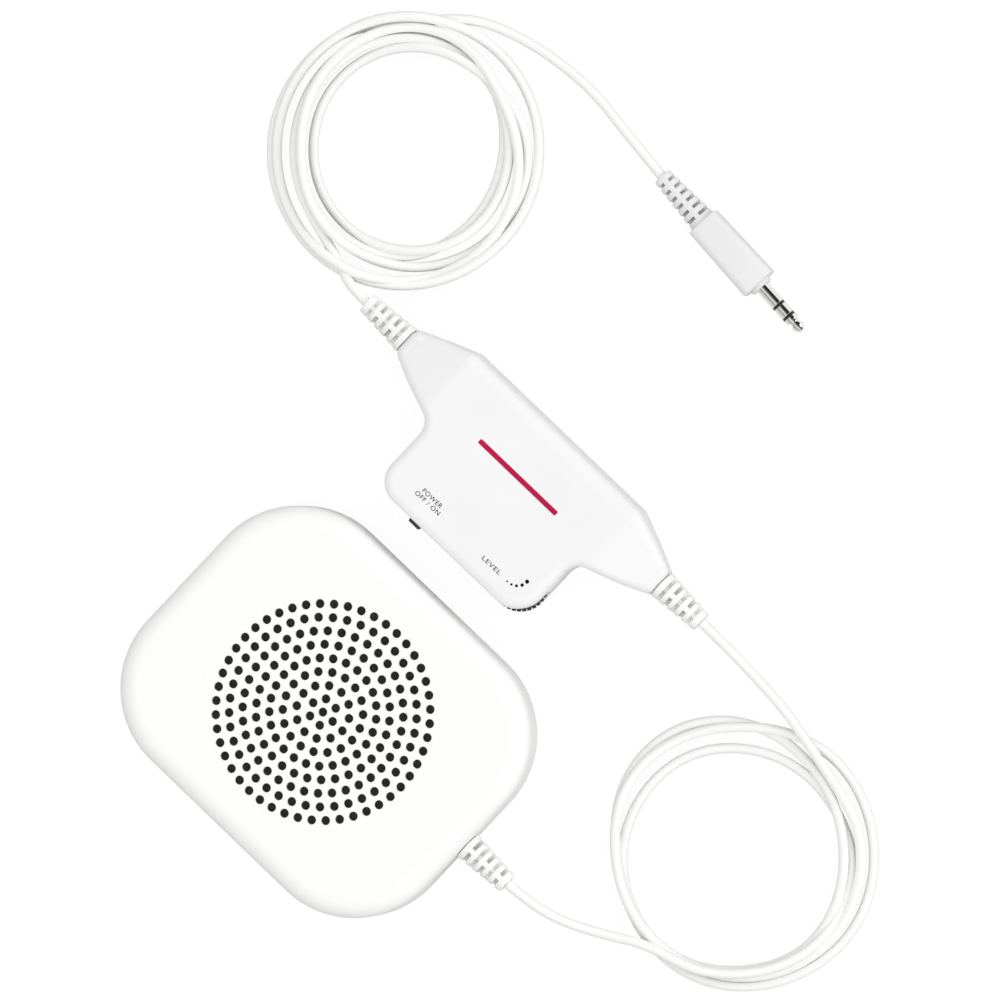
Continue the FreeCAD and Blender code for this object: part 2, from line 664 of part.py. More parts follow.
def rear_shell():
    """Back of the speaker case with its tongue, built open side down and turned over."""
    name = "speaker_rear_shell"
    depth = s.case_split
    host = case_half(name, depth, s.case_back_edge)
    room_x, room_y = s.case_length / 2 - s.case_wall, s.case_width / 2 - s.case_wall
    room_corner = s.case_corner - s.case_wall
    inset = s.lip_gap + s.lip_thickness
    root = rounded_rectangle(sketch(host, name + "_root"), room_x, room_y, room_corner)
    rounded_rectangle(root, room_x - inset, room_y - inset, room_corner - inset)
    pad(host, name + "_root_ring", root, s.lip_height)
    lip = rounded_rectangle(sketch(host, name + "_lip", offset=-s.lip_height), room_x - s.lip_gap,
                            room_y - s.lip_gap, room_corner - s.lip_gap)
    rounded_rectangle(lip, room_x - inset, room_y - inset, room_corner - inset)
    pad(host, name + "_tongue", lip, s.lip_height)
    posts = circles(host, name + "_posts", case_screws, s.post_radius)
    pad(host, name + "_post", posts, depth - s.case_wall / 2)
    screw_holes(host, name, case_screws, depth)
    boot_hole(host, name + "_boot_hole", s.case_length / 2, s.case_wall + s.lip_thickness + 1)
    turn(host, (1, 0, 0), 180)
    return move(host, z=s.case_split)


def screw_holes(host, name, spots, depth):
    """Through holes with sunk seats for the heads, from the face at depth."""
    through = circles(host, name + "_screw_holes", spots, s.screw_radius)
    pocket(host, name + "_screw_hole", through, depth, along=True)
    seats = circles(host, name + "_seats", spots, s.screw_head_radius + s.recess_gap, depth - head_top)
    pocket(host, name + "_seat", seats, depth, along=True)


def screws(name, spots):
    """Case screws as one group: heads in their seats, threads up into the front posts."""
    items = []
    for number, (x, y) in enumerate(spots):
        label = "%s_%d" % (name, number)
        head = cylinder(label + "_head", s.screw_head_radius, s.screw_sink, head_top, x, y)
        thread = cylinder(label + "_thread", s.screw_radius, head_top, thread_top, x, y)
        items.append(fuse(label, [head, thread]))
    return group(name, items)


# Loudspeaker
def basket():
    """Stamped basket: flat flange, sloping wall with windows, ledge for the spider and floor."""
    name = "driver_basket"
    out, inn = flange_inner, s.spider_radius + s.ledge_width
    floor, ledge, flange = plate_top + s.steel, ledge_top, flange_top
    rise, throat = s.spider_radius - s.steel, gap_outer + s.throat
    bend, knee = out - s.wall_lean, flange - s.wall_drop
    host = turned(name, (
        (throat, plate_top), (s.spider_radius, plate_top), (s.spider_radius, ledge - s.steel),
        (inn, ledge - s.steel), (bend, knee - s.steel), (out, flange - s.steel),
        (s.driver_radius, flange - s.steel), (s.driver_radius, flange), (out - s.steel, flange),
        (bend - s.steel, knee), (inn - s.steel / 2, ledge), (rise, ledge), (rise, floor), (throat, floor)))
    middle = (inn + bend) / 2
    window = circle(sketch(host, name + "_window", offset=ledge - s.steel), s.window_radius, middle)
    cutter = pocket(host, name + "_window_cut", window, flange - ledge, along=True)
    ring_of(host, name + "_windows", cutter, BASKET_WINDOWS)
    return host


def surround():
    """Cloth half roll between cone and flange, hollow side up, with its outer and inner lands."""
    name = "driver_surround"
    low = flange_top
    out = flange_inner - s.steel - s.edge_gap
    roll = (out - s.cone_radius) / 2
    middle = s.cone_radius + roll
    bowl = doc.addObject("Part::Torus", name + "_roll")
    bind(bowl, "Radius1", middle)
    bind(bowl, "Radius2", roll)
    eye = doc.addObject("Part::Torus", name + "_hollow")
    bind(eye, "Radius1", middle)
    bind(eye, "Radius2", roll - s.film)
    for item in (bowl, eye):
        bind(item, "Placement.Base.z", low + s.film)
    cap = cylinder(name + "_cap", s.driver_radius, low + s.film, low + s.film + roll)
    half = cut(name + "_half", cut(name + "_shell", bowl, eye), cap)
    land = cut(name + "_land", cylinder(name + "_land_out", s.driver_radius - s.rim_gap, low, low + s.film),
               cylinder(name + "_land_in", out - s.film / 2, low - 1, low + 1))
    foot = cut(name + "_foot", cylinder(name + "_foot_out", s.cone_radius + s.film / 2, low, low + s.film),
               cylinder(name + "_foot_in", s.cone_radius - s.rim_land, low - 1, low + 1))
    return fuse(name, [half, land, foot])


def paper_cone():
    """Paper cone from the voice coil to the surround, with a flat rim and a short neck."""
    rim, foot = flange_top, cone_seat
    edge = s.cone_radius - s.rim_land
    return turned("driver_cone", (
        (s.coil_radius, foot), (s.coil_radius + s.film, foot), (s.coil_radius + s.film, foot + s.cone_neck),
        (edge, rim - s.film), (s.cone_radius, rim - s.film), (s.cone_radius, rim),
        (edge - s.film / 2, rim), (s.coil_radius, foot + s.cone_neck + s.film)))


def spider():
    """Pleated disc that centres the voice coil: a ring of shallow waves on the basket's ledge."""
    low = ledge_top
    inner, outer = s.coil_radius, s.spider_radius + s.ledge_width - s.spider_inset
    step = (s.spider_radius - inner - s.spider_land * 2) / (4 * SPIDER_WAVES)
    lower, upper = [(inner, low)], [(inner, low + s.film)]
    for index, lift in enumerate((0, 1, 0, -1) * SPIDER_WAVES + (0,)):
        radius = inner + s.spider_land + step * index
        lower.append((radius, low + s.film * 2 * lift))
        upper.append((radius, low + s.film * 2 * lift + s.film))
    lower.append((outer, low))
    upper.append((outer, low + s.film))
    return turned("driver_spider", lower + upper[::-1])


def dust_cap():
    """A shallow dome of paper over the voice coil, its edge on the cone."""
    name = "driver_dust_cap"
    seat = cone_seat + s.cone_neck + s.film * 2
    ball = (s.cap_radius * s.cap_radius / s.cap_rise + s.cap_rise) / 2
    centre = seat + s.cap_rise - ball
    outer = doc.addObject("Part::Sphere", name + "_outer")
    inner = doc.addObject("Part::Sphere", name + "_inner")
    bind(outer, "Radius", ball)
    bind(inner, "Radius", ball - s.film)
    bind(outer, "Placement.Base.z", centre)
    bind(inner, "Placement.Base.z", centre)
    keep = cylinder(name + "_keep", s.cap_radius * 2, seat, seat + s.cap_rise * 2)
    dome = doc.addObject("Part::Common", name)
    dome.Base = cut(name + "_skin", outer, inner)
    dome.Tool = keep
    return dome


def ring_piece(name, outer, inner, low, high):
    """A plain turned ring."""
    return turned(name, ((inner, low), (outer, low), (outer, high), (inner, high)))


def loudspeaker():
    """Everything that is turned about the grille's axis."""
    pole = gap_inner
    yoke_low = yoke_top - s.yoke_thickness
    return [
        basket(), surround(), paper_cone(), spider(), dust_cap(),
        ring_piece("driver_gasket", s.driver_radius, flange_inner, flange_top + s.film,
                   front_face - s.cloth_thickness),
        ring_piece("driver_voice_coil", s.coil_radius, s.coil_radius - s.coil_wall,
                   magnet_top - s.coil_overhang, cone_seat + s.cone_neck + s.film),
        ring_piece("driver_front_plate", s.plate_radius, gap_outer, magnet_top, plate_top),
        ring_piece("driver_magnet", s.magnet_radius, s.magnet_bore, yoke_top, magnet_top),
        turned("driver_yoke", ((0, yoke_low), (s.plate_radius, yoke_low), (s.plate_radius, yoke_top),
                               (pole, yoke_top), (pole, plate_top), (0, plate_top))),
        cylinder("grille_cloth", s.driver_radius, front_face - s.cloth_thickness, front_face),
        terminal_strip()]


def terminal_strip():
    """Board with two solder lugs, riveted under the basket's flange."""
    name = "terminal_strip"
    top = flange_top - s.steel
    start = flange_inner + s.strip_inset
    end = start + s.strip_length
    under = top - s.strip_thickness
    items = [box(name + "_plate", (start, -s.strip_width / 2, under), (end, s.strip_width / 2, top))]
    for number, side in enumerate((-1, 1)):
        middle = side * s.strip_width / 4
        far = end - s.lug_inset
        items.append(box("%s_lug_%d" % (name, number),
                         (far - s.lug_thickness, middle - s.lug_width / 2, under - s.lug_height),
                         (far, middle + s.lug_width / 2, under)))
    return fuse(name, items)


# Strain reliefs
def slots(name, count, first, pitch, width, web, reach, start):
    """Pairs of slots across an upright moulding, every second pair a quarter turn on."""
    items = []
    for number in range(count):
        low = first + pitch * number - width / 2
        high = low + width
        across = (number + start) % 2 == 0
        for side, (near, far) in enumerate(((-reach, -web / 2), (web / 2, reach))):
            label = "%s_slot_%d_%d" % (name, number, side)
            if across:
                items.append(box(label, (near, -reach, low), (far, reach, high)))
            else:
                items.append(box(label, (-reach, near, low), (reach, far, high)))
    return fuse(name + "_slots", items)


def strain_relief(name, start, wall):
    """Slotted taper outside the wall, neck through it and flange behind it, built upright."""
    taper = cone(name + "_taper", s.boot_root, s.boot_end, s.boot_seam, s.boot_length)
    neck = cylinder(name + "_neck", s.neck_radius, -wall, s.boot_seam)
    anchor = cylinder(name + "_anchor", s.anchor_radius, -wall - s.anchor_length, -wall)
    return cut(name, fuse(name + "_solid", [taper, neck, anchor]),
               slots(name, BOOT_SLOTS, s.boot_first, s.boot_pitch, s.boot_slot, s.boot_web,
                     s.boot_root * 2, start))


# Amplifier case
def amp_outline(item, side):
    """Plan of the amplifier: narrow ends, tapers and the deep side, in order round the edge."""
    end, nose = s.amp_length / 2, s.amp_nose
    right = [(s.amp_crease, s.amp_side), (s.amp_shoulder_x, s.amp_shoulder_y), (end, nose), (end, -nose),
             (s.amp_shoulder_x, -s.amp_shoulder_y), (s.bump_half, -s.bump_root), (s.bump_half, -s.bump_depth)]
    left = [(-x, y) for x, y in right[::-1]]
    return outline(item, [(x, y * side) for x, y in right + left])


def amp_outer(name, side):
    """Half of the amplifier as a solid block, with its tapered ends and rounded edges."""
    host = body(name)
    depth, end = amp_split, s.amp_length / 2
    block = pad(host, name + "_block", amp_outline(sketch(host, name + "_plan"), side), depth)
    last = round_corners(host, name + "_hollow", block, s.bump_fillet,
                         [(sx * s.bump_half, -side * s.bump_root) for sx in (1, -1)])
    last = round_corners(host, name + "_plain_corner", last, s.bump_corner,
                         [(-s.bump_half, -side * s.bump_depth)])
    round_corners(host, name + "_wheel_corner", last, s.wheel_corner, [(s.bump_half, -side * s.bump_depth)])
    fall = (depth - s.amp_nose_rise) / (end - s.amp_crease)
    slopes = sketch(host, name + "_slopes", "XZ_Plane", -s.amp_length)
    for sx in (1, -1):
        outline(slopes, ((sx * s.amp_crease, depth), (sx * s.amp_crease, depth + 1),
                         (sx * (end + 1), depth + 1), (sx * (end + 1), s.amp_nose_rise - fall)))
    sloped = pocket(host, name + "_slope", slopes, s.amp_length * 2, along=True)
    fillet(host, name + "_edge", sloped, s.amp_edge,
           lambda e: e.BoundBox.ZMin > 0.1 and e.BoundBox.XLength + e.BoundBox.YLength > 0.1)
    return host


def amp_room(host, name, side):
    """The hollow of one amplifier shell, with the smaller rooms in its tapered ends."""
    depth, end = amp_split, s.amp_length / 2
    room_y = s.amp_side - s.amp_wall
    plain = (s.bump_corner - s.amp_wall) * OCTAGON
    round_wheel = (s.wheel_corner - s.amp_wall) * OCTAGON
    room = outline(sketch(host, name + "_room"), [(x, y * side) for x, y in (
        (s.amp_crease, room_y), (-s.amp_crease, room_y), (-s.amp_crease, -room_y), (-inner_x, -room_y),
        (-inner_x, plain - inner_y), (plain - inner_x, -inner_y), (inner_x - round_wheel, -inner_y),
        (inner_x, round_wheel - inner_y), (inner_x, -room_y), (s.amp_crease, -room_y))])
    pocket(host, name + "_hollow_room", room, depth - s.amp_wall, along=True)
    taper = rectangle(sketch(host, name + "_taper"), -s.taper_room_x, s.taper_room_x,
                      -s.taper_room_y, s.taper_room_y)
    pocket(host, name + "_taper_room", taper, s.taper_room_z, along=True)
    seat = s.anchor_radius + s.anchor_gap
    channel = rectangle(sketch(host, name + "_channel"), s.amp_wall - end, end - s.amp_wall, -seat, seat)
    pocket(host, name + "_channel_room", channel, seat, along=True)
    boot_hole(host, name + "_boot_right", end, s.amp_wall + 1)
    boot_hole(host, name + "_boot_left", -end, s.amp_wall + 1)


def amp_openings(host, name, side):
    """The slots that the volume wheel and the switch knob come through, half in each shell."""
    slot = circle(sketch(host, name + "_wheel_slot"), s.wheel_radius + s.wheel_gap,
                  s.wheel_x, -side * s.wheel_y)
    pocket(host, name + "_wheel_slot_cut", slot, s.wheel_thickness / 2 + s.wheel_gap, along=True)
    left = s.knob_x - s.knob_width / 2 - s.knob_gap
    right = s.knob_x + s.knob_width / 2 + s.knob_travel + s.knob_gap
    low, high = -s.bump_depth - 1, s.amp_wall / 10 - inner_y
    gate = outline(sketch(host, name + "_knob_slot"),
                   [(x, y * side) for x, y in ((left, low), (right, low), (right, high), (left, high))])
    pocket(host, name + "_knob_slot_cut", gate, s.knob_height / 2 + s.knob_gap, along=True)


def amp_top():
    """Front shell of the amplifier with its screw posts and the ribs that hold the cell down."""
    name = "amp_top_shell"
    host = amp_outer(name, 1)
    amp_room(host, name, 1)
    depth = amp_split
    to_roof = depth - s.amp_wall / 2
    rib_low = cell_axis + s.cell_radius + s.cell_gap - amp_split
    ribs = sketch(host, name + "_ribs", offset=rib_low)
    for sx in (1, -1):
        middle = sx * s.cell_length / 4
        rectangle(ribs, middle - s.rib / 2, middle + s.rib / 2, s.cell_y - s.cell_radius,
                  s.cell_y + s.cell_radius)
    pad(host, name + "_rib", ribs, to_roof - rib_low)
    posts = circles(host, name + "_posts", amp_screws, s.post_radius)
    pad(host, name + "_post", posts, to_roof)
    pilots = circles(host, name + "_pilots", amp_screws, s.screw_radius)
    pocket(host, name + "_pilot", pilots, thread_top + s.pilot_room - amp_split, along=True)
    amp_openings(host, name, 1)
    return move(host, s.amp_x, s.amp_y, amp_split)


def amp_bottom():
    """Back shell of the amplifier: battery opening, partitions, board posts and screw seats."""
    name = "amp_bottom_shell"
    side = -1
    host = amp_outer(name, side)
    amp_room(host, name, side)
    depth = amp_split
    to_floor = depth - s.amp_wall / 2
    walls = sketch(host, name + "_walls")
    outline(walls, [(x, y * side) for x, y in (
        (-inner_x - 1, bay_wall - s.rib), (inner_x + 1, bay_wall - s.rib), (inner_x + 1, bay_wall),
        (-inner_x - 1, bay_wall))])
    for sx in (1, -1):
        near, far = sx * contact_back, sx * (contact_back + s.rib)
        outline(walls, [(x, y * side) for x, y in (
            (near, s.cell_y - s.contact_width / 2), (far, s.cell_y - s.contact_width / 2),
            (far, s.amp_side - s.amp_wall / 2), (near, s.amp_side - s.amp_wall / 2))])
    pad(host, name + "_wall", walls, to_floor)
    posts = circles(host, name + "_posts", [(x, side * y) for x, y in amp_screws], s.post_radius)
    pad(host, name + "_post", posts, to_floor)
    rests = circles(host, name + "_rests", [(x, side * y) for x, y in board_rests], s.board_post,
                    amp_split - s.board_height)
    pad(host, name + "_rest", rests, to_floor - amp_split + s.board_height)
    screw_holes(host, name, [(x, side * y) for x, y in amp_screws], depth)
    door = outline(sketch(host, name + "_door", offset=depth - s.door_lip - s.door_gap),
                   [(x, y * side) for x, y in (
                       (-s.door_half - s.door_gap, -s.door_depth - s.door_gap),
                       (s.door_half + s.door_gap, -s.door_depth - s.door_gap),
                       (s.door_half + s.door_gap, s.amp_side + 1),
                       (-s.door_half - s.door_gap, s.amp_side + 1))])
    pocket(host, name + "_door_cut", door, depth, along=True)
    amp_openings(host, name, side)
    turn(host, (1, 0, 0), 180)
    return move(host, s.amp_x, s.amp_y, amp_split)


def battery_door():
    """Sliding door cut to the back shell's own form: a plate with an outer lip."""
    name = "battery_door"
    side = -1
    host = amp_outer(name, side)
    depth = amp_split
    big = s.amp_length
    frame = rectangle(sketch(host, name + "_frame"), -big, big, -big, big)
    outline(frame, [(x, y * side) for x, y in (
        (-s.door_half, -s.door_depth), (s.door_half, -s.door_depth), (s.door_half, big - 1),
        (-s.door_half, big - 1))])
    pocket(host, name + "_trim", frame, depth, along=True)
    above = rectangle(sketch(host, name + "_above"), -big, big, -big, big)
    pocket(host, name + "_above_cut", above, depth - s.door_lip, along=True)
    inner = outline(sketch(host, name + "_inner"), [(x, y * side) for x, y in (
        (-big, -big), (big, -big), (big, s.amp_side - s.amp_wall), (-big, s.amp_side - s.amp_wall))])
    pocket(host, name + "_inner_cut", inner, depth - s.door_recess - s.door_thickness, along=True)
    outside = rectangle(sketch(host, name + "_outside", offset=depth - s.door_recess), -big, big, -big, big)
    pocket(host, name + "_recess", outside, depth, along=True)
    turn(host, (1, 0, 0), 180)
    return move(host, s.amp_x, s.amp_y, amp_split)


# Inside the amplifier
def in_amp(item):
    """Carry a piece that was built about the amplifier's own middle to its place."""
    bind(item, "Placement.Base.x", s.amp_x)
    bind(item, "Placement.Base.y", s.amp_y)
    return item


def cell():
    """AAA cell lying along X: can and nub, with the nub at its +X end."""
    name = "battery_cell"
    can = cylinder(name + "_can", s.cell_radius, 0, s.cell_length)
    nub = cylinder(name + "_nub", s.nub_radius, s.cell_length, s.cell_length + s.nub_length)
    item = turn(fuse(name, [can, nub]), (0, 1, 0), 90)
    return move(item, s.amp_x - cell_half, s.amp_y + s.cell_y, cell_axis)


def contacts():
    """Two sprung strips, each bowed towards its end of the cell, standing on the partitions."""
    name = "battery_contacts"
    low = cell_axis - s.contact_height / 2
    items = []
    for label, sx in (("right", 1), ("left", -1)):
        host = body("%s_%s" % (name, label))
        back, front, head = sx * contact_back, sx * contact_front, sx * cell_half
        behind = head + sx * s.contact_thickness
        strip = [(front, -s.contact_width / 2), (front, -s.bow_foot), (head, -s.bow_head), (head, s.bow_head),
                 (front, s.bow_foot), (front, s.contact_width / 2), (back, s.contact_width / 2),
                 (back, s.bow_foot), (behind, s.bow_head), (behind, -s.bow_head), (back, -s.bow_foot),
                 (back, -s.contact_width / 2)]
        plan = outline(sketch(host, host.Name + "_plan", offset=low), [(x, y + s.cell_y) for x, y in strip])
        pad(host, host.Name + "_strip", plan, s.contact_height)
        items.append(host)
    return in_amp(group(name, items))


def circuit_board():
    """Board with clearance holes round the screw posts."""
    name = "circuit_board"
    host = body(name)
    front = s.board_edge_gap - inner_y
    plan = rectangle(sketch(host, name + "_plan", offset=s.board_height), -s.board_half, s.board_half,
                     front, -s.board_back)
    block = pad(host, name + "_block", plan, s.board_thickness)
    last = round_corners(host, name + "_corner", block, s.bump_corner - s.amp_wall, [(-s.board_half, front)])
    round_corners(host, name + "_wheel_corner", last, s.wheel_corner - s.amp_wall, [(s.board_half, front)])
    holes = circles(host, name + "_holes", amp_screws, s.post_radius + s.post_gap, s.board_height - 1)
    pocket(host, name + "_hole", holes, s.board_thickness + 2, along=True)
    return in_amp(host)


def potentiometer():
    """Flat potentiometer on the board, with the shaft that the volume wheel turns on."""
    name = "volume_potentiometer"
    case = cylinder(name + "_case", s.pot_radius, board_top, wheel_low - s.pot_gap)
    shaft = cylinder(name + "_shaft", s.shaft_radius, wheel_low - s.pot_gap, wheel_top)
    bore = cylinder(name + "_bore", s.wheel_screw_thread + s.shaft_gap,
                    wheel_top - s.wheel_screw_length - s.pot_gap, wheel_top + 1)
    item = cut(name, fuse(name + "_solid", [case, shaft]), bore)
    bind(item, "Placement.Base.x", s.amp_x + s.wheel_x)
    bind(item, "Placement.Base.y", s.amp_y - s.wheel_y)
    return item


def volume_wheel():
    """Thumb wheel: a disc with a ring of square-cut teeth and a bore for the shaft."""
    name = "volume_wheel"
    host = turned(name, ((s.shaft_radius + s.shaft_gap, wheel_low), (s.wheel_radius, wheel_low),
                         (s.wheel_radius, wheel_top), (s.shaft_radius + s.shaft_gap, wheel_top)))
    root = s.wheel_radius - s.wheel_tooth
    notch = outline(sketch(host, name + "_notch", offset=wheel_low - 1), (
        (root, -s.notch_root / 2), (s.wheel_radius + 1, -s.notch_mouth / 2),
        (s.wheel_radius + 1, s.notch_mouth / 2), (root, s.notch_root / 2)))
    cutter = pocket(host, name + "_notch_cut", notch, s.wheel_thickness + 2, along=True)
    ring_of(host, name + "_teeth", cutter, WHEEL_TEETH)
    bind(host, "Placement.Base.x", s.amp_x + s.wheel_x)
    bind(host, "Placement.Base.y", s.amp_y - s.wheel_y)
    return host


def wheel_screw():
    """Screw that holds the wheel on its shaft."""
    name = "volume_wheel_screw"
    head = cylinder(name + "_head", s.wheel_screw_head, wheel_top + s.shaft_gap,
                    wheel_top + s.shaft_gap + s.wheel_screw_height)
    thread = cylinder(name + "_thread", s.wheel_screw_thread, wheel_top - s.wheel_screw_length,
                      wheel_top + s.shaft_gap)
    item = fuse(name, [head, thread])
    bind(item, "Placement.Base.x", s.amp_x + s.wheel_x)
    bind(item, "Placement.Base.y", s.amp_y - s.wheel_y)
    return item


def slide_switch():
    """Can of the slide switch on the board, with the gate that its stalk slides in."""
    name = "switch_body"
    front = -inner_y + s.switch_seat
    middle = s.knob_x + s.knob_travel / 2
    can = box(name + "_can", (middle - s.switch_length / 2, front, board_top),
              (middle + s.switch_length / 2, front + s.switch_depth, amp_split * 2 - board_top))
    reach = s.stalk_width / 2 + s.knob_travel / 2 + s.knob_gap
    gate = box(name + "_gate", (middle - reach, front - 1, amp_split - s.stalk_width / 2 - s.knob_gap),
               (middle + reach, front + s.switch_depth - s.switch_wall,
                amp_split + s.stalk_width / 2 + s.knob_gap))
    return in_amp(cut(name, can, gate))


def switch_knob():
    """Knob with grooves across its outer face, on the stalk that reaches into the switch."""
    name = "switch_knob"
    front = -s.bump_depth - s.knob_proud
    back = s.knob_gap - inner_y
    inside = s.switch_seat + s.switch_depth - s.switch_wall - s.knob_gap - inner_y
    cap = box(name + "_cap", (s.knob_x - s.knob_width / 2, front, amp_split - s.knob_height / 2),
              (s.knob_x + s.knob_width / 2, back, amp_split + s.knob_height / 2))
    stalk = box(name + "_stalk", (s.knob_x - s.stalk_width / 2, back, amp_split - s.stalk_width / 2),
                (s.knob_x + s.stalk_width / 2, inside, amp_split + s.stalk_width / 2))
    step = s.knob_width / (KNOB_GROOVES + 1)
    grooves = []
    for number in range(1, KNOB_GROOVES + 1):
        middle = s.knob_x - s.knob_width / 2 + step * number
        grooves.append(box("%s_groove_%d" % (name, number),
                           (middle - s.knob_groove / 2, front - 1, amp_split - s.knob_height),
                           (middle + s.knob_groove / 2, front + s.knob_groove, amp_split + s.knob_height)))
    return in_amp(cut(name, fuse(name + "_solid", [cap, stalk]), fuse(name + "_grooves", grooves)))


def chip():
    """Amplifier chip with its row of legs on each side."""
    name = "amplifier_chip"
    left, near = s.chip_x - s.chip_length / 2, -s.chip_y - s.chip_width / 2
    items = [box(name + "_case", (left, near, board_top),
                 (left + s.chip_length, near + s.chip_width, board_top + s.chip_height))]
    step = s.chip_length / CHIP_LEGS
    for number in range(CHIP_LEGS):
        middle = left + step * (number + 0.5)
        items.append(box("%s_leg_%d" % (name, number),
                         (middle - s.leg_width / 2, near - s.lead_reach, board_top),
                         (middle + s.leg_width / 2, near + s.chip_width + s.lead_reach,
                          board_top + s.leg_thickness)))
    return in_amp(fuse(name, items))


def capacitors():
    """Round capacitors standing on the board."""
    name = "capacitors"
    cans = [cylinder("%s_%d" % (name, number), s.can_radius, board_top, board_top + s.can_height,
                     s.can_x + s.can_pitch * number, -s.can_y) for number in range(CAPACITORS)]
    return in_amp(group(name, cans))


# Plug
def at_plug(item):
    """Lay a piece that was built upright along the plug's axis."""
    item.Placement = Placement(Vector(), Rotation(Vector(0, 0, 1), s.plug_turn.number)
                               * Rotation(Vector(0, 1, 0), 90))
    return move(item, s.plug_x, s.plug_y, plug_axis)


def plug_moulding():
    """Grip, slotted bend relief and collar, moulded in one round the plug's metal."""
    name = "plug_moulding"
    host = body(name + "_grip")
    back = -s.plug_length
    plan = rectangle(sketch(host, name + "_grip_plan", offset=back), -s.plug_height / 2, s.plug_height / 2,
                     -s.plug_width / 2, s.plug_width / 2)
    block = pad(host, name + "_grip_block", plan, s.plug_length)
    fillet(host, name + "_grip_round", block, s.plug_round, lambda e: True)
    end = back - s.plug_boot
    relief = cone(name + "_relief", s.plug_boot_end, s.plug_boot_root, end, back + s.plug_round)
    collar = cylinder(name + "_collar", s.collar_radius, -s.plug_round, s.collar_length)
    first = end + s.plug_slot_first
    cuts = []
    sides = ((-s.plug_height, -s.plug_web / 2), (s.plug_web / 2, s.plug_height))
    for number in range(PLUG_SLOTS):
        low = first + s.plug_slot_pitch * number - s.plug_slot / 2
        for side, (near, far) in enumerate(sides):
            cuts.append(box("%s_slot_%d_%d" % (name, number, side), (-s.plug_height, near, low),
                            (s.plug_height, far, low + s.plug_slot)))
    cuts.append(cylinder(name + "_bore", s.stem_radius, -s.stem_length, s.collar_length + 1))
    return at_plug(cut(name, fuse(name + "_solid", [host, relief, collar]), fuse(name + "_cuts", cuts)))


def plug_metal():
    """Sleeve, ring and tip of the 3.5 mm plug with the insulating core between them."""
    out, back = s.shaft_of_plug, -s.stem_length
    return [at_plug(item) for item in (
        turned("plug_sleeve", (
            (s.core_radius, back), (s.stem_radius, back), (s.stem_radius, s.collar_length),
            (out, s.collar_length), (out, s.sleeve_end), (s.core_radius, s.sleeve_end))),
        ring_piece("plug_ring", out, s.core_radius, s.ring_start, s.ring_end),
        turned("plug_insulator", (
            (s.rod_radius, back), (s.core_radius, back), (s.core_radius, s.sleeve_end), (out, s.sleeve_end),
            (out, s.ring_start), (s.core_radius, s.ring_start), (s.core_radius, s.ring_end),
            (out, s.ring_end), (out, s.tip_start), (s.rod_radius, s.tip_start))),
        turned("plug_tip", (
            (0, back), (s.rod_radius, back), (s.rod_radius, s.tip_start), (out, s.tip_start),
            (out, s.neck_start), (s.tip_neck, s.neck_middle), (s.tip_belly, s.belly_middle),
            (s.tip_flat, s.shaft_length), (0, s.shaft_length))))]


# All pieces
parts = [front_shell(), rear_shell(), screws("speaker_case_screws", case_screws)]
parts += loudspeaker()
parts.append(move(turn(strain_relief("speaker_strain_relief", 1, s.case_wall + s.lip_thickness + s.lip_gap),
                       (0, 1, 0), 90), s.case_length / 2, 0, s.case_split))
parts += [amp_top(), amp_bottom(), battery_door(), in_amp(screws("amp_case_screws", amp_screws))]
parts.append(move(turn(strain_relief("amp_input_strain_relief", 0, s.amp_wall), (0, 1, 0), 90),
                  s.amp_x + s.amp_length / 2, s.amp_y, amp_split))
parts.append(move(turn(strain_relief("amp_output_strain_relief", 0, s.amp_wall), (0, 1, 0), -90),
                  s.amp_x - s.amp_length / 2, s.amp_y, amp_split))
parts += [cell(), contacts(), circuit_board(), potentiometer(), volume_wheel(), wheel_screw(),
          slide_switch(), switch_knob(), chip(), capacitors()]
parts += [plug_moulding()] + plug_metal()
parts += [tube("speaker_cord_start", SPEAKER_TAIL, s.cord_radius),
          tube("speaker_cord_end", AMP_TAIL, s.cord_radius),
          tube("plug_cord_start", COIL_TAIL, s.cord_radius),
          tube("plug_cord_end", PLUG_TAIL, s.cord_radius),
          tube("speaker_inner_lead", SPEAKER_LEAD, s.lead_radius),
          in_amp(tube("amp_input_lead", INPUT_LEAD, s.lead_radius)),
          in_amp(tube("amp_output_lead", OUTPUT_LEAD, s.lead_radius)),
          coil_solid("speaker_cord_coil", s.coil_one_x, s.coil_one_y, s.coil_one_outer, s.coil_one_inner,
                     s.coil_height),
          coil_solid("plug_cord_coil", s.coil_two_x, s.coil_two_y, s.coil_two_outer, s.coil_two_inner,
                     s.coil_height)]

doc.recompute()
faults = ["%s: %s" % (item.Name, item.State) for item in doc.Objects
          if "Invalid" in item.State or "Error" in item.State]
for piece in parts:
    if piece.Shape.isNull() or not piece.Shape.isValid() or not piece.Shape.Solids:
        faults.append("%s: no valid solid" % piece.Label)
if faults:
    raise ValueError("; ".join(faults))
for piece in parts:
    piece.Shape.exportStep("parts/%s.step" % piece.Label)
print("%d pieces" % len(parts))
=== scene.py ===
import bmesh
import bpy
import json
import math
import numpy as np
from bpy.props import FloatProperty, FloatVectorProperty, PointerProperty
from mathutils import Matrix, Vector


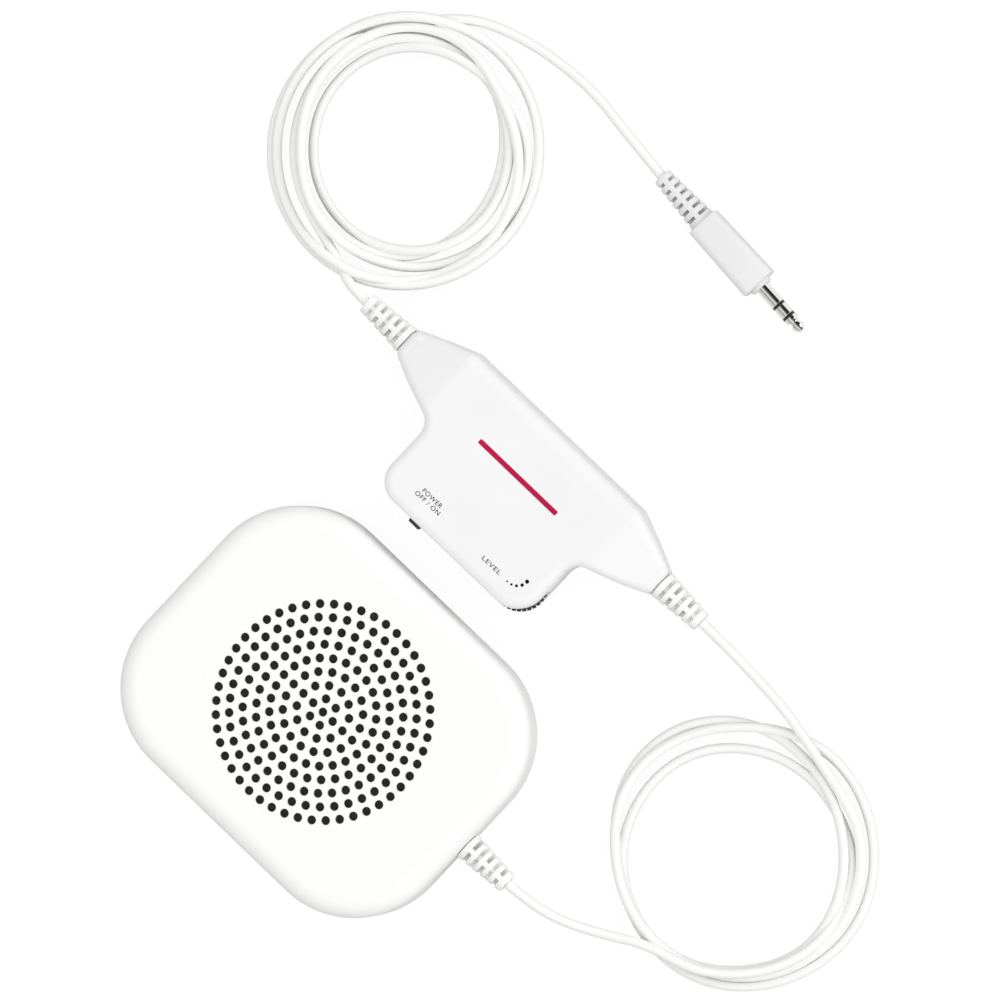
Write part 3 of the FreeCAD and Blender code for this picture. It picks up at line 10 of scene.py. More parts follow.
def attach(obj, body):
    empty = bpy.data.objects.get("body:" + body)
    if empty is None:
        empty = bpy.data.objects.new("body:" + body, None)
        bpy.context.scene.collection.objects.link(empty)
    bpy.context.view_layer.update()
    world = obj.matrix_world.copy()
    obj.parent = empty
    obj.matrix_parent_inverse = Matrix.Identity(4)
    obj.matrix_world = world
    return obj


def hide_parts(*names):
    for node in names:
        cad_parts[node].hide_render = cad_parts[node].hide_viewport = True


bl_info = {
    "name": "Pillow speaker",
    "version": (1, 0, 0),
    "blender": (4, 5, 0),
    "location": "3D View > Sidebar > Pillow speaker",
    "description": "Pillow speaker with its in-line amplifier, coiled cords and plug",
    "category": "Object",
}

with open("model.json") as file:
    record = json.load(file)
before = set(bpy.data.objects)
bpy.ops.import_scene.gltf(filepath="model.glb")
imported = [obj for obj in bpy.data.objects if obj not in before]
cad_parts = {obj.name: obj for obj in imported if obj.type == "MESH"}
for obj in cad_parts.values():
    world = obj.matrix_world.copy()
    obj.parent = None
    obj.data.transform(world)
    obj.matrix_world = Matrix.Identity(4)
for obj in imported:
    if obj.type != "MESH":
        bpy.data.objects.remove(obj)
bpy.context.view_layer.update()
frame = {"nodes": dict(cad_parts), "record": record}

MM = 0.001

# Sizes in millimetres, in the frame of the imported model
CASE = dict(half_x=45.0, half_y=36.5, height=18.0, split=9.0, corner=23.0, wall=1.6, front=4.5, back=3.0)
HOLE, PITCH, HOLE_EDGE = 1.075, 3.15, 0.2
HOLES_PER_RING = (6, 12, 18, 25, 30, 36, 41, 48)
AMP_X, AMP_Y, AMP_HEIGHT, AMP_SPLIT = -5.0, 75.3, 16.0, 8.0
AMP_WALL = 1.5
CORD = 1.175
WHEEL_AT = (12.25, 52.7)
KNOB_X = -15.4
SEAM = 0.1

# The amplifier's top is level between its creases and falls outside them. Its edge is rounder
# along the long plain side, and how quickly that fades is a power.
CREASE, CREASE_SOFT, FALL = 26.5, 0.8, 0.2966
CREASE_CUTS = (-1.1, -0.8, -0.4, 0.0, 0.4, 0.8, 1.1)
AMP_EDGE, PLAIN_SIDE_MORE, PLAIN_SIDE_FADE = 2.2, 0.7, 8

# Corners of the amplifier's plan about its own middle, each with its radius: the right end, the
# long plain side, the left end, and the deep side with the controls
AMP_PLAN = (((41.0, -3.55), 2.6), ((41.0, 3.55), 2.6), ((34.0, 6.5), 8.0), ((CREASE, 9.3), 6.0),
            ((-CREASE, 9.3), 6.0), ((-34.0, 6.5), 8.0), ((-41.0, 3.55), 2.6), ((-41.0, -3.55), 2.6),
            ((-34.0, -6.5), 8.0), ((-23.35, -10.0), 4.5), ((-23.35, -28.8), 6.0), ((23.35, -28.8), 7.0),
            ((23.35, -10.0), 4.5), ((34.0, -6.5), 8.0))

# Openings in the amplifier's top shell: round the wheel, and along the knob's way
WHEEL_OPENING = dict(radius=6.9, low=6.0, high=9.8)
KNOB_OPENING = dict(left=1.95, right=3.95, outer=31.0, inner=27.0, low=6.0, high=9.5)

# The switch's knob: half its width, its outer and inner ends from the amplifier's middle, its
# ridges, its rounded corners, and its heights
KNOB = dict(half=1.65, outer=-30.0, inner=-26.6, ridge=0.14, waves=2.5, corner=0.3, low=6.8, high=9.2,
            bevel=0.15, shrink=0.97)

# Slots of the strain reliefs and of the plug: the rib in their middle, the web beside it, the skin
# under a side slot, and how far a slot's edge is bevelled along and inwards
UPRIGHT, SIDE = 1, 2
RIB_HALF, RIB_HIGH, WEB_HALF, SKIN_TOP = 0.62, 1.75, 0.4, -1.0
SLOT_CLEAR, BEVEL_ALONG, BEVEL_IN, SHARP_STEP = 0.1, 0.08, 0.06, 1e-4

# The strain reliefs: their slots and their (distance, radius) profile, then each new piece with
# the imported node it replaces, its place, its turn in degrees and its slots in order
RELIEF_SLOTS = dict(first=2.16, pitch=2.17, half=0.5)
RELIEF_PROFILE = ((-1.5, 2.1), (0.2199, 2.1), (0.22, 3.4), (0.32, 3.52), (12.7, 2.57), (12.9, 2.48),
                  (13.0, 2.3), (13.001, 1.2))
SIDE_FIRST = (SIDE, UPRIGHT, SIDE, UPRIGHT, SIDE)
UPRIGHT_FIRST = (UPRIGHT, SIDE, UPRIGHT, SIDE, UPRIGHT)
RELIEFS = (
    ("speaker_boot", "speaker_strain_relief", (45.0, 0.0, 9.0), 0, SIDE_FIRST),
    ("amplifier_boot_speaker_side", "amp_input_strain_relief", (36.0, 75.3, 8.0), 0, UPRIGHT_FIRST),
    ("amplifier_boot_plug_side", "amp_output_strain_relief", (-46.0, 75.3, 8.0), 180, UPRIGHT_FIRST))

# The plug: where its axis starts and its turn in degrees, its slots, its front collar, and its
# turned pieces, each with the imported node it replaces, its finish and its (distance, radius) profile
PLUG_AT, PLUG_DEGREES = (5.4, 141.25, 4.0), -4.2
PLUG_SLOTS = dict(first=1.9, pitch=2.12, half=0.42)
PLUG_COLLAR = ((-2.0, 2.75), (-0.05, 2.75), (0.1, 2.6), (0.1001, 1.7))
PLUG_TURNED = (
    ("plug_shaft", "plug_sleeve", "nickel", ((-0.5, 1.75), (5.35, 1.75), (5.45, 1.65))),
    ("plug_middle_ring", "plug_ring", "nickel", ((6.15, 1.65), (6.25, 1.75), (8.8, 1.75), (8.9, 1.65))),
    ("plug_rings_black", "plug_insulator", "insulator_black",
     ((5.3, 1.6), (5.35, 1.66), (9.65, 1.66), (9.7, 1.6))),
    ("plug_point", "plug_tip", "nickel", (
        (9.6, 1.65), (9.7, 1.75), (10.4, 1.75), (10.6, 1.68), (11.1, 1.2), (11.3, 1.13), (11.5, 1.16),
        (12.1, 1.52), (12.35, 1.6), (12.6, 1.55), (13.7, 0.85), (13.9, 0.62), (14.0, 0.35))))

# Plain marks: each word with the start of its baseline, its capitals' height and its length, then
# the dots that grow beside the wheel, and the stripe
PRINT_HEIGHT = AMP_HEIGHT + 0.02
WORDS = (("POWER", (-18.6, 53.0), 1.12, 5.9), ("OFF / ON", (-19.5, 51.45), 1.12, 7.5),
         ("LEVEL", (2.3, 51.3), 1.05, 5.6))
LETTER_SPACING, LETTER_WEIGHT = 1.12, 0.004
DOTS = ((10.31, 51.66), (11.51, 51.83), (12.59, 52.41), (13.42, 53.45), (13.73, 54.83))
DOT_RADIUS, DOT_GROWTH = 0.22, 0.065
STRIPE = dict(middle=(-4.5, 70.9), half_x=12.4, half_y=0.62, corner=0.3)

# Cloth: the wave texture's scale times the thread's size, which puts its bands 0.63 threads apart
BAND_SCALE = 3.14 / 6.2832

# Directions of the photograph in the part's own plane
PHOTO_TURN = math.radians(43.5)
PHOTO_TILT = math.radians(8.0)
PHOTO_SCALE = 4.29
PHOTO_ZERO = (333.9, 711.3)
IMAGE_SIZE = 1000
LENS, SENSOR = 500.0, 36.0

# Floor and light, set by comparing tones with the photograph. The floor bounces less light than it
# shows; the sky is brighter on the side that the sun comes from, and shiny pieces see a dark card
# in it, whose tone is given at places from one side of the sky to the other.
FLOOR_HALF, FLOOR_AT = 3.0, -1e-4
FLOOR_BOUNCED, FLOOR_SEEN, FLOOR_GLOW, FLOOR_GLOW_SHARE = 0.16, 0.92, 1.03, 0.9
LIGHT_TURN = PHOTO_TURN + 0.1
SKY_FAR, SKY_NEAR = 0.87, 1.15
SKY_CARD = ((0.20, 0.3), (0.30, 0.9), (0.44, 0.8), (0.50, 0.35), (0.60, 0.2), (0.64, 0.02),
            (0.92, 0.02), (0.95, 0.9))
SUN_STRENGTH, SUN_DEGREES, SUN_HEIGHT = 0.6, 30.0, 0.35

# Free cords: the given ends, in millimetres
SPEAKER_TAIL = ((58.0, 0.0, 9.0), (66.0, 0.4, 8.3), (74.0, 2.6, 6.6), (82.4, 6.8, 4.9), (91.0, 12.0, 4.1))
AMP_TAIL = ((84.0, 72.3, 4.3), (75.6, 73.9, 4.7), (66.6, 74.6, 5.8), (57.8, 75.2, 7.2), (49.0, 75.3, 8.0))
COIL_TAIL = ((-59.0, 75.3, 8.0), (-62.8, 75.3, 8.0), (-66.5, 75.85, 7.1), (-70.1, 77.25, 5.5))
PLUG_TAIL = ((-94.4, 132.6, 2.0), (-86.8, 140.2, 1.5), (-76.6, 144.2, 1.4), (-65.6, 146.4, 1.7),
             (-53.8, 147.0, 2.6), (-41.6, 145.2, 3.8), (-29.3, 143.8, 4.0))
# Coils: their centres, then degrees round the coil and distance from its centre in millimetres
SPEAKER_COIL_AT, PLUG_COIL_AT = (92.9, 43.0), (-77.4, 106.8)
SPEAKER_COIL = ((-126, 30.4), (-90, 27.9), (-61, 27.4), (-30, 26.2), (0, 25.0), (30, 22.9), (60, 23.2),
                (90, 24.1), (120, 26.4), (150, 27.8), (180, 29.2), (203, 29.8), (225, 30.3),
                (240, 29.6), (255, 28.4), (270, 27.3), (300, 26.6), (330, 24.4), (360, 22.9),
                (393, 23.9), (420, 26.1), (442, 29.4), (463, 32.0), (482, 33.6), (501, 33.5),
                (520, 32.4), (540, 29.8), (565, 29.8), (592, 31.2), (610, 31.6),
                (630, 31.3), (655, 30.9), (676, 31.1), (698, 30.7), (721, 30.1), (735, 30.0), (760, 30.4),
                (780, 30.3), (797, 29.4), (815, 29.3), (832, 30.3), (854, 31.8), (868, 32.4), (885, 31.4),
                (900, 30.0), (930, 29.7), (960, 29.2), (990, 29.1), (1020, 28.8), (1050, 28.0),
                (1080, 27.2), (1094, 26.8), (1118, 28.2))
PLUG_COIL = ((132, 27.1), (150, 26.6), (180, 26.4), (225, 27.4), (270, 28.4), (300, 27.4), (330, 24.8),
             (360, 22.6), (400, 22.5), (425, 23.4), (450, 25.2), (495, 25.4), (540, 24.8), (585, 26.0),
             (630, 26.6), (675, 25.6), (720, 24.3), (765, 24.6), (790, 24.2), (810, 23.4), (855, 22.6),
             (900, 22.1), (945, 23.2), (990, 24.2), (1035, 25.2), (1080, 29.1), (1125, 28.8), (1170, 27.4),
             (1215, 25.6), (1260, 23.9), (1305, 26.6), (1350, 29.4), (1380, 28.7), (1395, 27.2),
             (1410, 25.6), (1440, 26.6), (1485, 29.2), (1530, 30.9), (1575, 31.0), (1620, 30.6),
             (1665, 31.1), (1710, 31.5), (1755, 31.7), (1800, 31.4), (1845, 31.4), (1890, 31.8),
             (1935, 32.0), (1980, 32.3), (2010, 31.9), (2040, 31.4), (2070, 31.0))
# Order of the strands: speaker_cord lies over its whole coil up to one angle, and plug_cord goes
# under the turns before it from one angle on. Elsewhere a later strand lies over an earlier one.
SPEAKER_OVER_UNTIL, SPEAKER_OVER_BY = -40, 2000
PLUG_UNDER_FROM, PLUG_UNDER_BY = 1895, 480


# Surfaces
def quads(rows, columns):
    """Faces of a grid of points that closes on itself along its columns."""
    i, j = np.meshgrid(np.arange(rows - 1), np.arange(columns), indexing="ij")
    ahead = (j + 1) % columns
    return np.stack([i * columns + j, i * columns + ahead, (i + 1) * columns + ahead,
                     (i + 1) * columns + j], axis=-1).reshape(-1, 4)


class Surface:
    """Points in millimetres and faces, gathered piece by piece."""

    def __init__(self):
        self.points = np.zeros((0, 3))
        self.faces = []

    def add(self, points, faces):
        """Append points and the faces between them; the first new point's number comes back."""
        start = len(self.points)
        self.points = np.concatenate([self.points, np.asarray(points, float).reshape(-1, 3)])
        self.faces += [[start + corner for corner in face] for face in np.asarray(faces).tolist()]
        return start

    def loft(self, rings):
        """Closed loops of the same number of points, one row each, joined in order."""
        rings = np.asarray(rings)
        return self.add(rings, quads(rings.shape[0], rings.shape[1]))

    def cap(self, start, count, corners=None):
        """One flat face over a loop, or over some of its points in their order."""
        self.faces.append([start + corner for corner in (range(count) if corners is None else corners)])

    def solid(self, rings):
        """A loft with a flat face on both ends."""
        start = self.loft(rings)
        rows, columns = np.asarray(rings).shape[:2]
        self.cap(start, columns)
        self.cap(start + (rows - 1) * columns, columns)

    def zip(self, inner, outer):
        """A ring of triangles between two loops round the Z axis, point by point in order of angle."""
        loops = [np.asarray(inner), np.asarray(outer)]
        angles = [np.arctan2(loop[:, 1], loop[:, 0]) for loop in loops]
        order = [np.argsort(angle) for angle in angles]
        turn = np.concatenate([np.sort(angle) for angle in angles])
        side = np.concatenate([np.zeros(len(loops[0]), int), np.ones(len(loops[1]), int)])
        rank = np.argsort(turn, kind="stable")
        side = side[rank]
        seen = [np.cumsum(side == which) for which in (0, 1)]
        last = [(seen[which] - 1) % len(loops[which]) for which in (0, 1)]
        before = [(last[which] - (side == which)) % len(loops[which]) for which in (0, 1)]
        numbers = [order[0][last[0]], order[1][last[1]] + len(loops[0])]
        older = [order[0][before[0]], order[1][before[1]] + len(loops[0])]
        third = np.where(side == 0, older[0], older[1])
        self.add(np.concatenate(loops), np.stack([numbers[0], numbers[1], third], axis=1))

    def build(self, name, body, slot, sharp=28.0, weld=True):
        """Make the mesh object, close its seams, turn its faces outwards and mark its edges."""
        mesh = bpy.data.meshes.new(name)
        mesh.from_pydata((self.points * MM).tolist(), [], self.faces)
        work = bmesh.new()
        work.from_mesh(mesh)
        if weld:
            bmesh.ops.remove_doubles(work, verts=work.verts, dist=2e-6)
        bmesh.ops.recalc_face_normals(work, faces=work.faces)
        work.to_mesh(mesh)
        work.free()
        return place(bpy.data.objects.new(name, mesh), body, sharp)


def place(item, body, sharp=28.0):
    """Link a finished object, shade it and let it ride on its body."""
    if item.name not in bpy.context.scene.collection.objects:
        bpy.context.scene.collection.objects.link(item)
    if item.type == "MESH":
        item.data.shade_smooth()
        item.data.set_sharp_from_angle(angle=math.radians(sharp))
    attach(item, body)
    return item


def circle(count, radius=1.0, start=0.0):
    """Points of a circle about the origin, anticlockwise."""
    angle = start + np.arange(count) * 2 * math.pi / count
    return np.stack([radius * np.cos(angle), radius * np.sin(angle)], axis=1)


def level(loop, z):
    """A flat loop lifted to a height, which may differ from point to point."""
    loop = np.asarray(loop, float)
    return np.concatenate([loop, np.broadcast_to(np.asarray(z, float), len(loop))[:, None]], axis=1)


def bend(steps):
    """Sine and one minus cosine over a quarter turn: how far a rounded edge goes out and down."""
    angle = np.linspace(0, math.pi / 2, steps + 1)
    return np.sin(angle), 1 - np.cos(angle)


def rounded_box_loop(half_x, half_y, corner, per_corner=24, per_side=10):
    """Anticlockwise outline of a rectangle with round corners, and its outward normals."""
    points, normals = [], []
    for turn, (sx, sy) in enumerate(((1, 1), (-1, 1), (-1, -1), (1, -1))):
        angle = np.linspace(0, math.pi / 2, per_corner + 1) + turn * math.pi / 2
        normal = np.stack([np.cos(angle), np.sin(angle)], axis=1)
        centre = np.array([sx * (half_x - corner), sy * (half_y - corner)])
        points.append(centre + corner * normal)
        normals.append(normal)
        nx, ny = ((-1, 1), (-1, -1), (1, -1), (1, 1))[turn]
        end = np.array([nx * (half_x - corner), ny * (half_y - corner)]) + corner * normal[-1]
        share = np.linspace(0, 1, per_side + 2)[1:-1, None]
        points.append(points[-1][-1] * (1 - share) + end * share)
        normals.append(np.repeat(normal[-1:], per_side, axis=0))
    return np.concatenate(points), np.concatenate(normals)


def rounded_outline(corners, radii, step=math.radians(7.5), spacing=2.0):
    """Closed polygon with each corner replaced by a tangent arc; outward normals are the arcs' radii
    on convex corners and point at the centre on hollow ones."""
    corners = np.asarray(corners, float)
    before = corners - np.roll(corners, 1, axis=0)
    after = np.roll(corners, -1, axis=0) - corners
    points, normals = [], []
    for corner, came, goes, radius in zip(corners, before, after, radii):
        came, goes = came / np.hypot(*came), goes / np.hypot(*goes)
        turn = math.atan2(came[0] * goes[1] - came[1] * goes[0], came @ goes)
        side = math.copysign(1.0, turn)
        start = corner - came * radius * math.tan(abs(turn) / 2)
        out = np.array([came[1], -came[0]])
        centre = start - out * radius * side
        angle = np.linspace(0, turn, max(3, int(math.ceil(abs(turn) / step))) + 1)
        normal = np.stack([out[0] * np.cos(angle) - out[1] * np.sin(angle),
                           out[0] * np.sin(angle) + out[1] * np.cos(angle)], axis=1)
        points.append(centre + normal * radius * side)
        normals.append(normal)
    filled, outward = [], []
    for index, (arc, normal) in enumerate(zip(points, normals)):
        target = points[(index + 1) % len(points)][0]
        run = target - arc[-1]
        count = int(np.hypot(*run) // spacing)
        share = np.linspace(0, 1, count + 2)[1:-1, None]
        filled += [arc, arc[-1] + run * share]
        outward += [normal, np.repeat(normal[-1:], count, axis=0)]
    return np.concatenate(filled), np.concatenate(outward)


def with_cuts(points, normals, cuts):
    """The same closed outline with extra points where it crosses the given X values."""
    ahead, ahead_normal = np.roll(points, -1, axis=0), np.roll(normals, -1, axis=0)
    spots, rows, outs = [np.arange(len(points), dtype=float)], [points], [normals]
    for cut in cuts:
        crossing = np.nonzero((points[:, 0] - cut) * (ahead[:, 0] - cut) < 0)[0]
        share = ((cut - points[crossing, 0]) / (ahead[crossing, 0] - points[crossing, 0]))[:, None]
        spots.append(crossing + share[:, 0])
        rows.append(points[crossing] * (1 - share) + ahead[crossing] * share)
        outs.append(normals[crossing] * (1 - share) + ahead_normal[crossing] * share)
    order = np.argsort(np.concatenate(spots), kind="stable")
    outs = np.concatenate(outs)[order]
    return np.concatenate(rows)[order], outs / np.hypot(outs[:, 0], outs[:, 1])[:, None]


# Materials
def material(name):
    """An empty node material with its Principled shader, and a helper that adds nodes."""
    item = bpy.data.materials.new(name)
    item.use_nodes = True
    tree = item.node_tree
    shader = tree.nodes["Principled BSDF"]

    def node(kind, inputs=(), **settings):
        made = tree.nodes.new(kind)
        for key, value in settings.items():
            setattr(made, key, value)
        for key, value in dict(inputs).items():
            if isinstance(value, bpy.types.NodeSocket):
                tree.links.new(value, made.inputs[key])
            else:
                made.inputs[key].default_value = value
        return made

    def link(source, target):
        tree.links.new(source, shader.inputs[target])
    return item, shader, node, link


def tint(node, link, colour, tone):
    """Make the base colour from a plain colour and a tone that scales it."""
    shade = node("ShaderNodeVectorMath", {0: tuple(colour), "Scale": tone.outputs["Result"]},
                 operation="SCALE")
    link(shade.outputs["Vector"], "Base Color")


def moulded(name, colour, roughness, grain=2600.0, depth=0.02, mottle=0.03, specular=0.5, coat=0.0):
    """Moulded plastic: fine skin texture, slow change of tone and of gloss."""
    item, shader, node, link = material(name)
    place_of = node("ShaderNodeTexCoord").outputs["Object"]
    fine = node("ShaderNodeTexNoise", {"Vector": place_of, "Scale": grain, "Detail": 3.0})
    slow = node("ShaderNodeTexNoise", {"Vector": place_of, "Scale": 55.0, "Detail": 2.0})
    tone = node("ShaderNodeMapRange", {"Value": slow.outputs["Fac"], "From Min": 0.3, "From Max": 0.7,
                                       "To Min": 1.0 - mottle, "To Max": 1.0})
    tint(node, link, colour, tone)
    gloss = node("ShaderNodeMapRange", {"Value": fine.outputs["Fac"], "From Min": 0.3, "From Max": 0.7,
                                        "To Min": roughness - 0.05, "To Max": roughness + 0.05})
    link(gloss.outputs["Result"], "Roughness")
    bump = node("ShaderNodeBump", {"Height": fine.outputs["Fac"], "Strength": 0.35, "Distance": depth * MM})
    link(bump.outputs["Normal"], "Normal")
    shader.inputs["Specular IOR Level"].default_value = specular
    shader.inputs["Coat Weight"].default_value = coat
    shader.inputs["Coat Roughness"].default_value = 0.15
    return item


def metal(name, colour, roughness, stretch=(60.0, 2600.0, 2600.0)):
    """Plated or drawn metal: fine streaks that change the gloss, a faint tone change."""
    item, shader, node, link = material(name)
    place_of = node("ShaderNodeTexCoord").outputs["Object"]
    streak = node("ShaderNodeMapping", {"Vector": place_of, "Scale": stretch})
    lines = node("ShaderNodeTexNoise", {"Vector": streak.outputs["Vector"], "Scale": 1.0, "Detail": 3.0})
    gloss = node("ShaderNodeMapRange", {"Value": lines.outputs["Fac"], "From Min": 0.3, "From Max": 0.7,
                                        "To Min": roughness * 0.7, "To Max": roughness * 1.4})
    link(gloss.outputs["Result"], "Roughness")
    tone = node("ShaderNodeMapRange", {"Value": lines.outputs["Fac"], "From Min": 0.3, "From Max": 0.7,
                                       "To Min": 0.93, "To Max": 1.0})
    tint(node, link, colour, tone)
    bump = node("ShaderNodeBump", {"Height": lines.outputs["Fac"], "Strength": 0.1, "Distance": 0.01 * MM})
    link(bump.outputs["Normal"], "Normal")
    shader.inputs["Metallic"].default_value = 1.0
    return item


def woven(name, colour, thread=0.35):
    """Plain-woven cloth: two crossed rows of threads, dark between them."""
    item, shader, node, link = material(name)
    place_of = node("ShaderNodeTexCoord").outputs["Object"]
    rows = [node("ShaderNodeTexWave", {"Vector": place_of, "Scale": BAND_SCALE / (thread * MM),
                                       "Distortion": 0.4, "Detail": 1.0}, bands_direction=axis)
            for axis in ("X", "Y")]
    weave = node("ShaderNodeMath", {0: rows[0].outputs["Fac"], 1: rows[1].outputs["Fac"]},
                 operation="MULTIPLY")
    tone = node("ShaderNodeMapRange", {"Value": weave.outputs["Value"], "To Min": 0.35, "To Max": 1.5})
    tint(node, link, colour, tone)
    bump = node("ShaderNodeBump", {"Height": weave.outputs["Value"], "Strength": 0.6, "Distance": 0.1 * MM})
    link(bump.outputs["Normal"], "Normal")
    shader.inputs["Roughness"].default_value = 0.9
    shader.inputs["Specular IOR Level"].default_value = 0.05
    return item


def dress(node_name, finish):
    """Give a carried-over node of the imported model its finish."""
    item = frame["nodes"][node_name]
    item.data.materials.clear()
    item.data.materials.append(finish)


def finish_of(kind):
    """Each finish of the part, made once and shared by the pieces that have it."""
    if kind in bpy.data.materials:
        return bpy.data.materials[kind]
    look = bpy.context.scene.pillow_speaker_look
    recipes = {
        "case_white": lambda: moulded(kind, look.case_colour, 0.42, depth=0.015),
        "amplifier_white": lambda: moulded(kind, look.amplifier_colour, 0.42, depth=0.015),
        "flex_white": lambda: moulded(kind, look.relief_colour, 0.48, grain=1800.0, depth=0.02),
        "grip_white": lambda: moulded(kind, look.grip_colour, 0.48, grain=1800.0, depth=0.02),
        "cord_white": lambda: moulded(kind, look.cord_colour, 0.40, grain=1500.0, depth=0.02),
        "black_plastic": lambda: moulded(kind, (0.008, 0.008, 0.008), 0.45, mottle=0.2, specular=0.15),
        "print_grey": lambda: moulded(kind, (0.01, 0.01, 0.011), 0.6, mottle=0.2, specular=0.1),
        "print_red": lambda: moulded(kind, look.stripe_colour, 0.6, mottle=0.08, specular=0.15),
        "cloth_black": lambda: woven(kind, (0.003, 0.003, 0.003)),
        "surround_cloth": lambda: woven(kind, (0.03, 0.028, 0.026), 0.5),
        "paper_cone": lambda: moulded(kind, (0.03, 0.03, 0.032), 0.85, grain=700.0, depth=0.08, mottle=0.3),
        "gasket_card": lambda: moulded(kind, (0.24, 0.18, 0.12), 0.85, grain=900.0, depth=0.05,
                                       mottle=0.25),
        "board_green": lambda: moulded(kind, (0.02, 0.16, 0.06), 0.35, grain=900.0, mottle=0.25),
        "ferrite": lambda: moulded(kind, (0.06, 0.06, 0.065), 0.55, grain=1200.0, depth=0.04, mottle=0.2),
        "can_sleeve": lambda: moulded(kind, (0.02, 0.03, 0.10), 0.3, mottle=0.1),
        "cell_wrap": lambda: moulded(kind, (0.20, 0.21, 0.23), 0.3, mottle=0.1, coat=0.4),
        "insulator_black": lambda: moulded(kind, (0.012, 0.012, 0.013), 0.22, mottle=0.1),
        "steel": lambda: metal(kind, (0.55, 0.55, 0.56), 0.34),
        "switch_steel": lambda: metal(kind, (0.62, 0.62, 0.62), 0.3),
        "copper": lambda: metal(kind, (0.72, 0.36, 0.20), 0.3, (2600.0, 2600.0, 900.0)),
        "nickel": lambda: metal(kind, (0.83, 0.82, 0.80), 0.14),
    }
    return recipes[kind]()


# Cords
def about_coil(centre, degrees, radius, sense):
    """Points at a distance from a coil's centre, the angle counted from the photograph's right."""
    angle = sense * np.radians(degrees) + PHOTO_TURN
    return np.stack([centre[0] + radius * np.cos(angle), centre[1] + radius * np.sin(angle)], axis=1)


def softened(values, reach):
    """Each value averaged with its neighbours up to a reach, the nearer ones counting more."""
    weights = np.hanning(2 * reach + 3)[1:-1]
    return np.convolve(np.pad(values, reach, mode="edge"), weights / weights.sum(), mode="valid")


def laid_heights(plan, least, rank):
    """Height of a cord that lies on the floor and on its own strands of lower rank: where two strands
    are closer in plan than their diameter, the upper one is lifted by the other side of the right
    triangle whose long side is the diameter. Strands that only touch aren't lifted, the lift fades
    in as they close up, and it fades out over the neighbouring points."""
    neighbours, reach, rounds, give = 12, 6, 24, 0.15
    touching, fade = 0.99 * 2 * CORD, 0.08 * 2 * CORD
    apart = np.hypot(*(plan[:, None, :] - plan[None, :, :]).transpose(2, 0, 1))
    number = np.arange(len(plan))
    over = (rank[:, None] > rank[None, :]) & (abs(number[:, None] - number[None, :]) > neighbours)
    close = np.clip((touching - apart) / fade, 0, 1)
    lift = np.sqrt(np.clip((2 * CORD) ** 2 - apart ** 2, 0, None)) * close
    height = least.copy()
    for _ in range(rounds):
        need = np.where(over & (close > 0), height[None, :] + lift, least[:, None]).max(axis=1)
        need = np.maximum(need, least)
        height = np.maximum(softened(need, reach), least)
        height = np.maximum(height, need - give)
    return np.maximum(softened(height, reach), least)


def coiled_route(tail_in, keys, tail_out, centre, sense, rank_of):
    """Control points of a cord: its first given points, the turns of its coil worked out one
    small step after another, and its last given points. Heights follow from the crossings."""
    step, reach, finer, slope, rise = 5.0, 4, 4, 0.12, 0.02
    keys = np.asarray(keys, float)
    degrees = np.arange(keys[0, 0], keys[-1, 0], step)
    radius = softened(np.interp(degrees, keys[:, 0], keys[:, 1]), reach)
    turns = about_coil(centre, degrees, radius, sense)
    first, last = np.asarray(tail_in, float), np.asarray(tail_out, float)
    fine = [np.stack([np.interp(np.linspace(0, len(part) - 1, (len(part) - 1) * finer + 1),
                                np.arange(len(part)), part[:, axis]) for axis in range(3)], axis=1)
            for part in (first, last)]
    plan = np.concatenate([fine[0][:, :2], turns, fine[1][:, :2]])
    run = np.linalg.norm(np.diff(turns, axis=0), axis=1)
    far_in = np.concatenate([[0], np.cumsum(run)])
    far_out = far_in[-1] - far_in
    ramp = np.maximum(fine[0][-1, 2] - far_in * slope, fine[1][0, 2] - far_out * slope)
    least = np.concatenate([fine[0][:, 2], np.maximum(CORD + rise, ramp), fine[1][:, 2]])
    angle = np.concatenate([np.full(len(fine[0]), degrees[0] - 1), degrees,
                            np.full(len(fine[1]), degrees[-1] + 1)])
    height = laid_heights(plan, least, rank_of(angle))
    low, high = len(fine[0]), len(fine[0]) + len(turns)
    coil = np.concatenate([plan, height[:, None]], axis=1)[low:high]
    lifted = [np.concatenate([part[:, :2], np.maximum(part[:, 2:], height[spots][:, None])], axis=1)
              for part, spots in ((first, np.arange(len(first)) * finer),
                                  (last, high + np.arange(len(last)) * finer))]
    return np.concatenate([lifted[0], coil[2:-2:3], lifted[1]])


def cord_piece(name, points, length, nodes, with_pieces=()):
    """A free cord: a smooth spline with the route's points as its control points. Its length
    argument is not used."""
    curve = bpy.data.curves.new(name, "CURVE")
    curve.dimensions = "3D"
    spline = curve.splines.new("NURBS")
    spline.points.add(len(points) - 1)
    weighted = np.concatenate([points * MM, np.ones((len(points), 1))], axis=1)
    spline.points.foreach_set("co", weighted.ravel())
    spline.order_u = 3
    spline.use_endpoint_u = True
    spline.resolution_u = 6
    curve.bevel_depth = CORD * MM
    curve.bevel_resolution = 6
    curve.use_fill_caps = True
    item = bpy.data.objects.new(name, curve)
    bpy.context.scene.collection.objects.link(item)
    curve.materials.append(finish_of("cord_white"))
    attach(item, "case")
    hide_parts(*nodes)
    return item


# Properties
def colour_property(name, description, default):
    """A colour that the panel shows."""
    return FloatVectorProperty(name=name, description=description, subtype="COLOR", size=3,
                               min=0.0, max=1.0, default=default)


def length_property(name, description, default):
    """A cord's length that the panel shows."""
    return FloatProperty(name=name, description=description, subtype="DISTANCE", unit="LENGTH",
                         min=0.1, max=3.0, default=default)


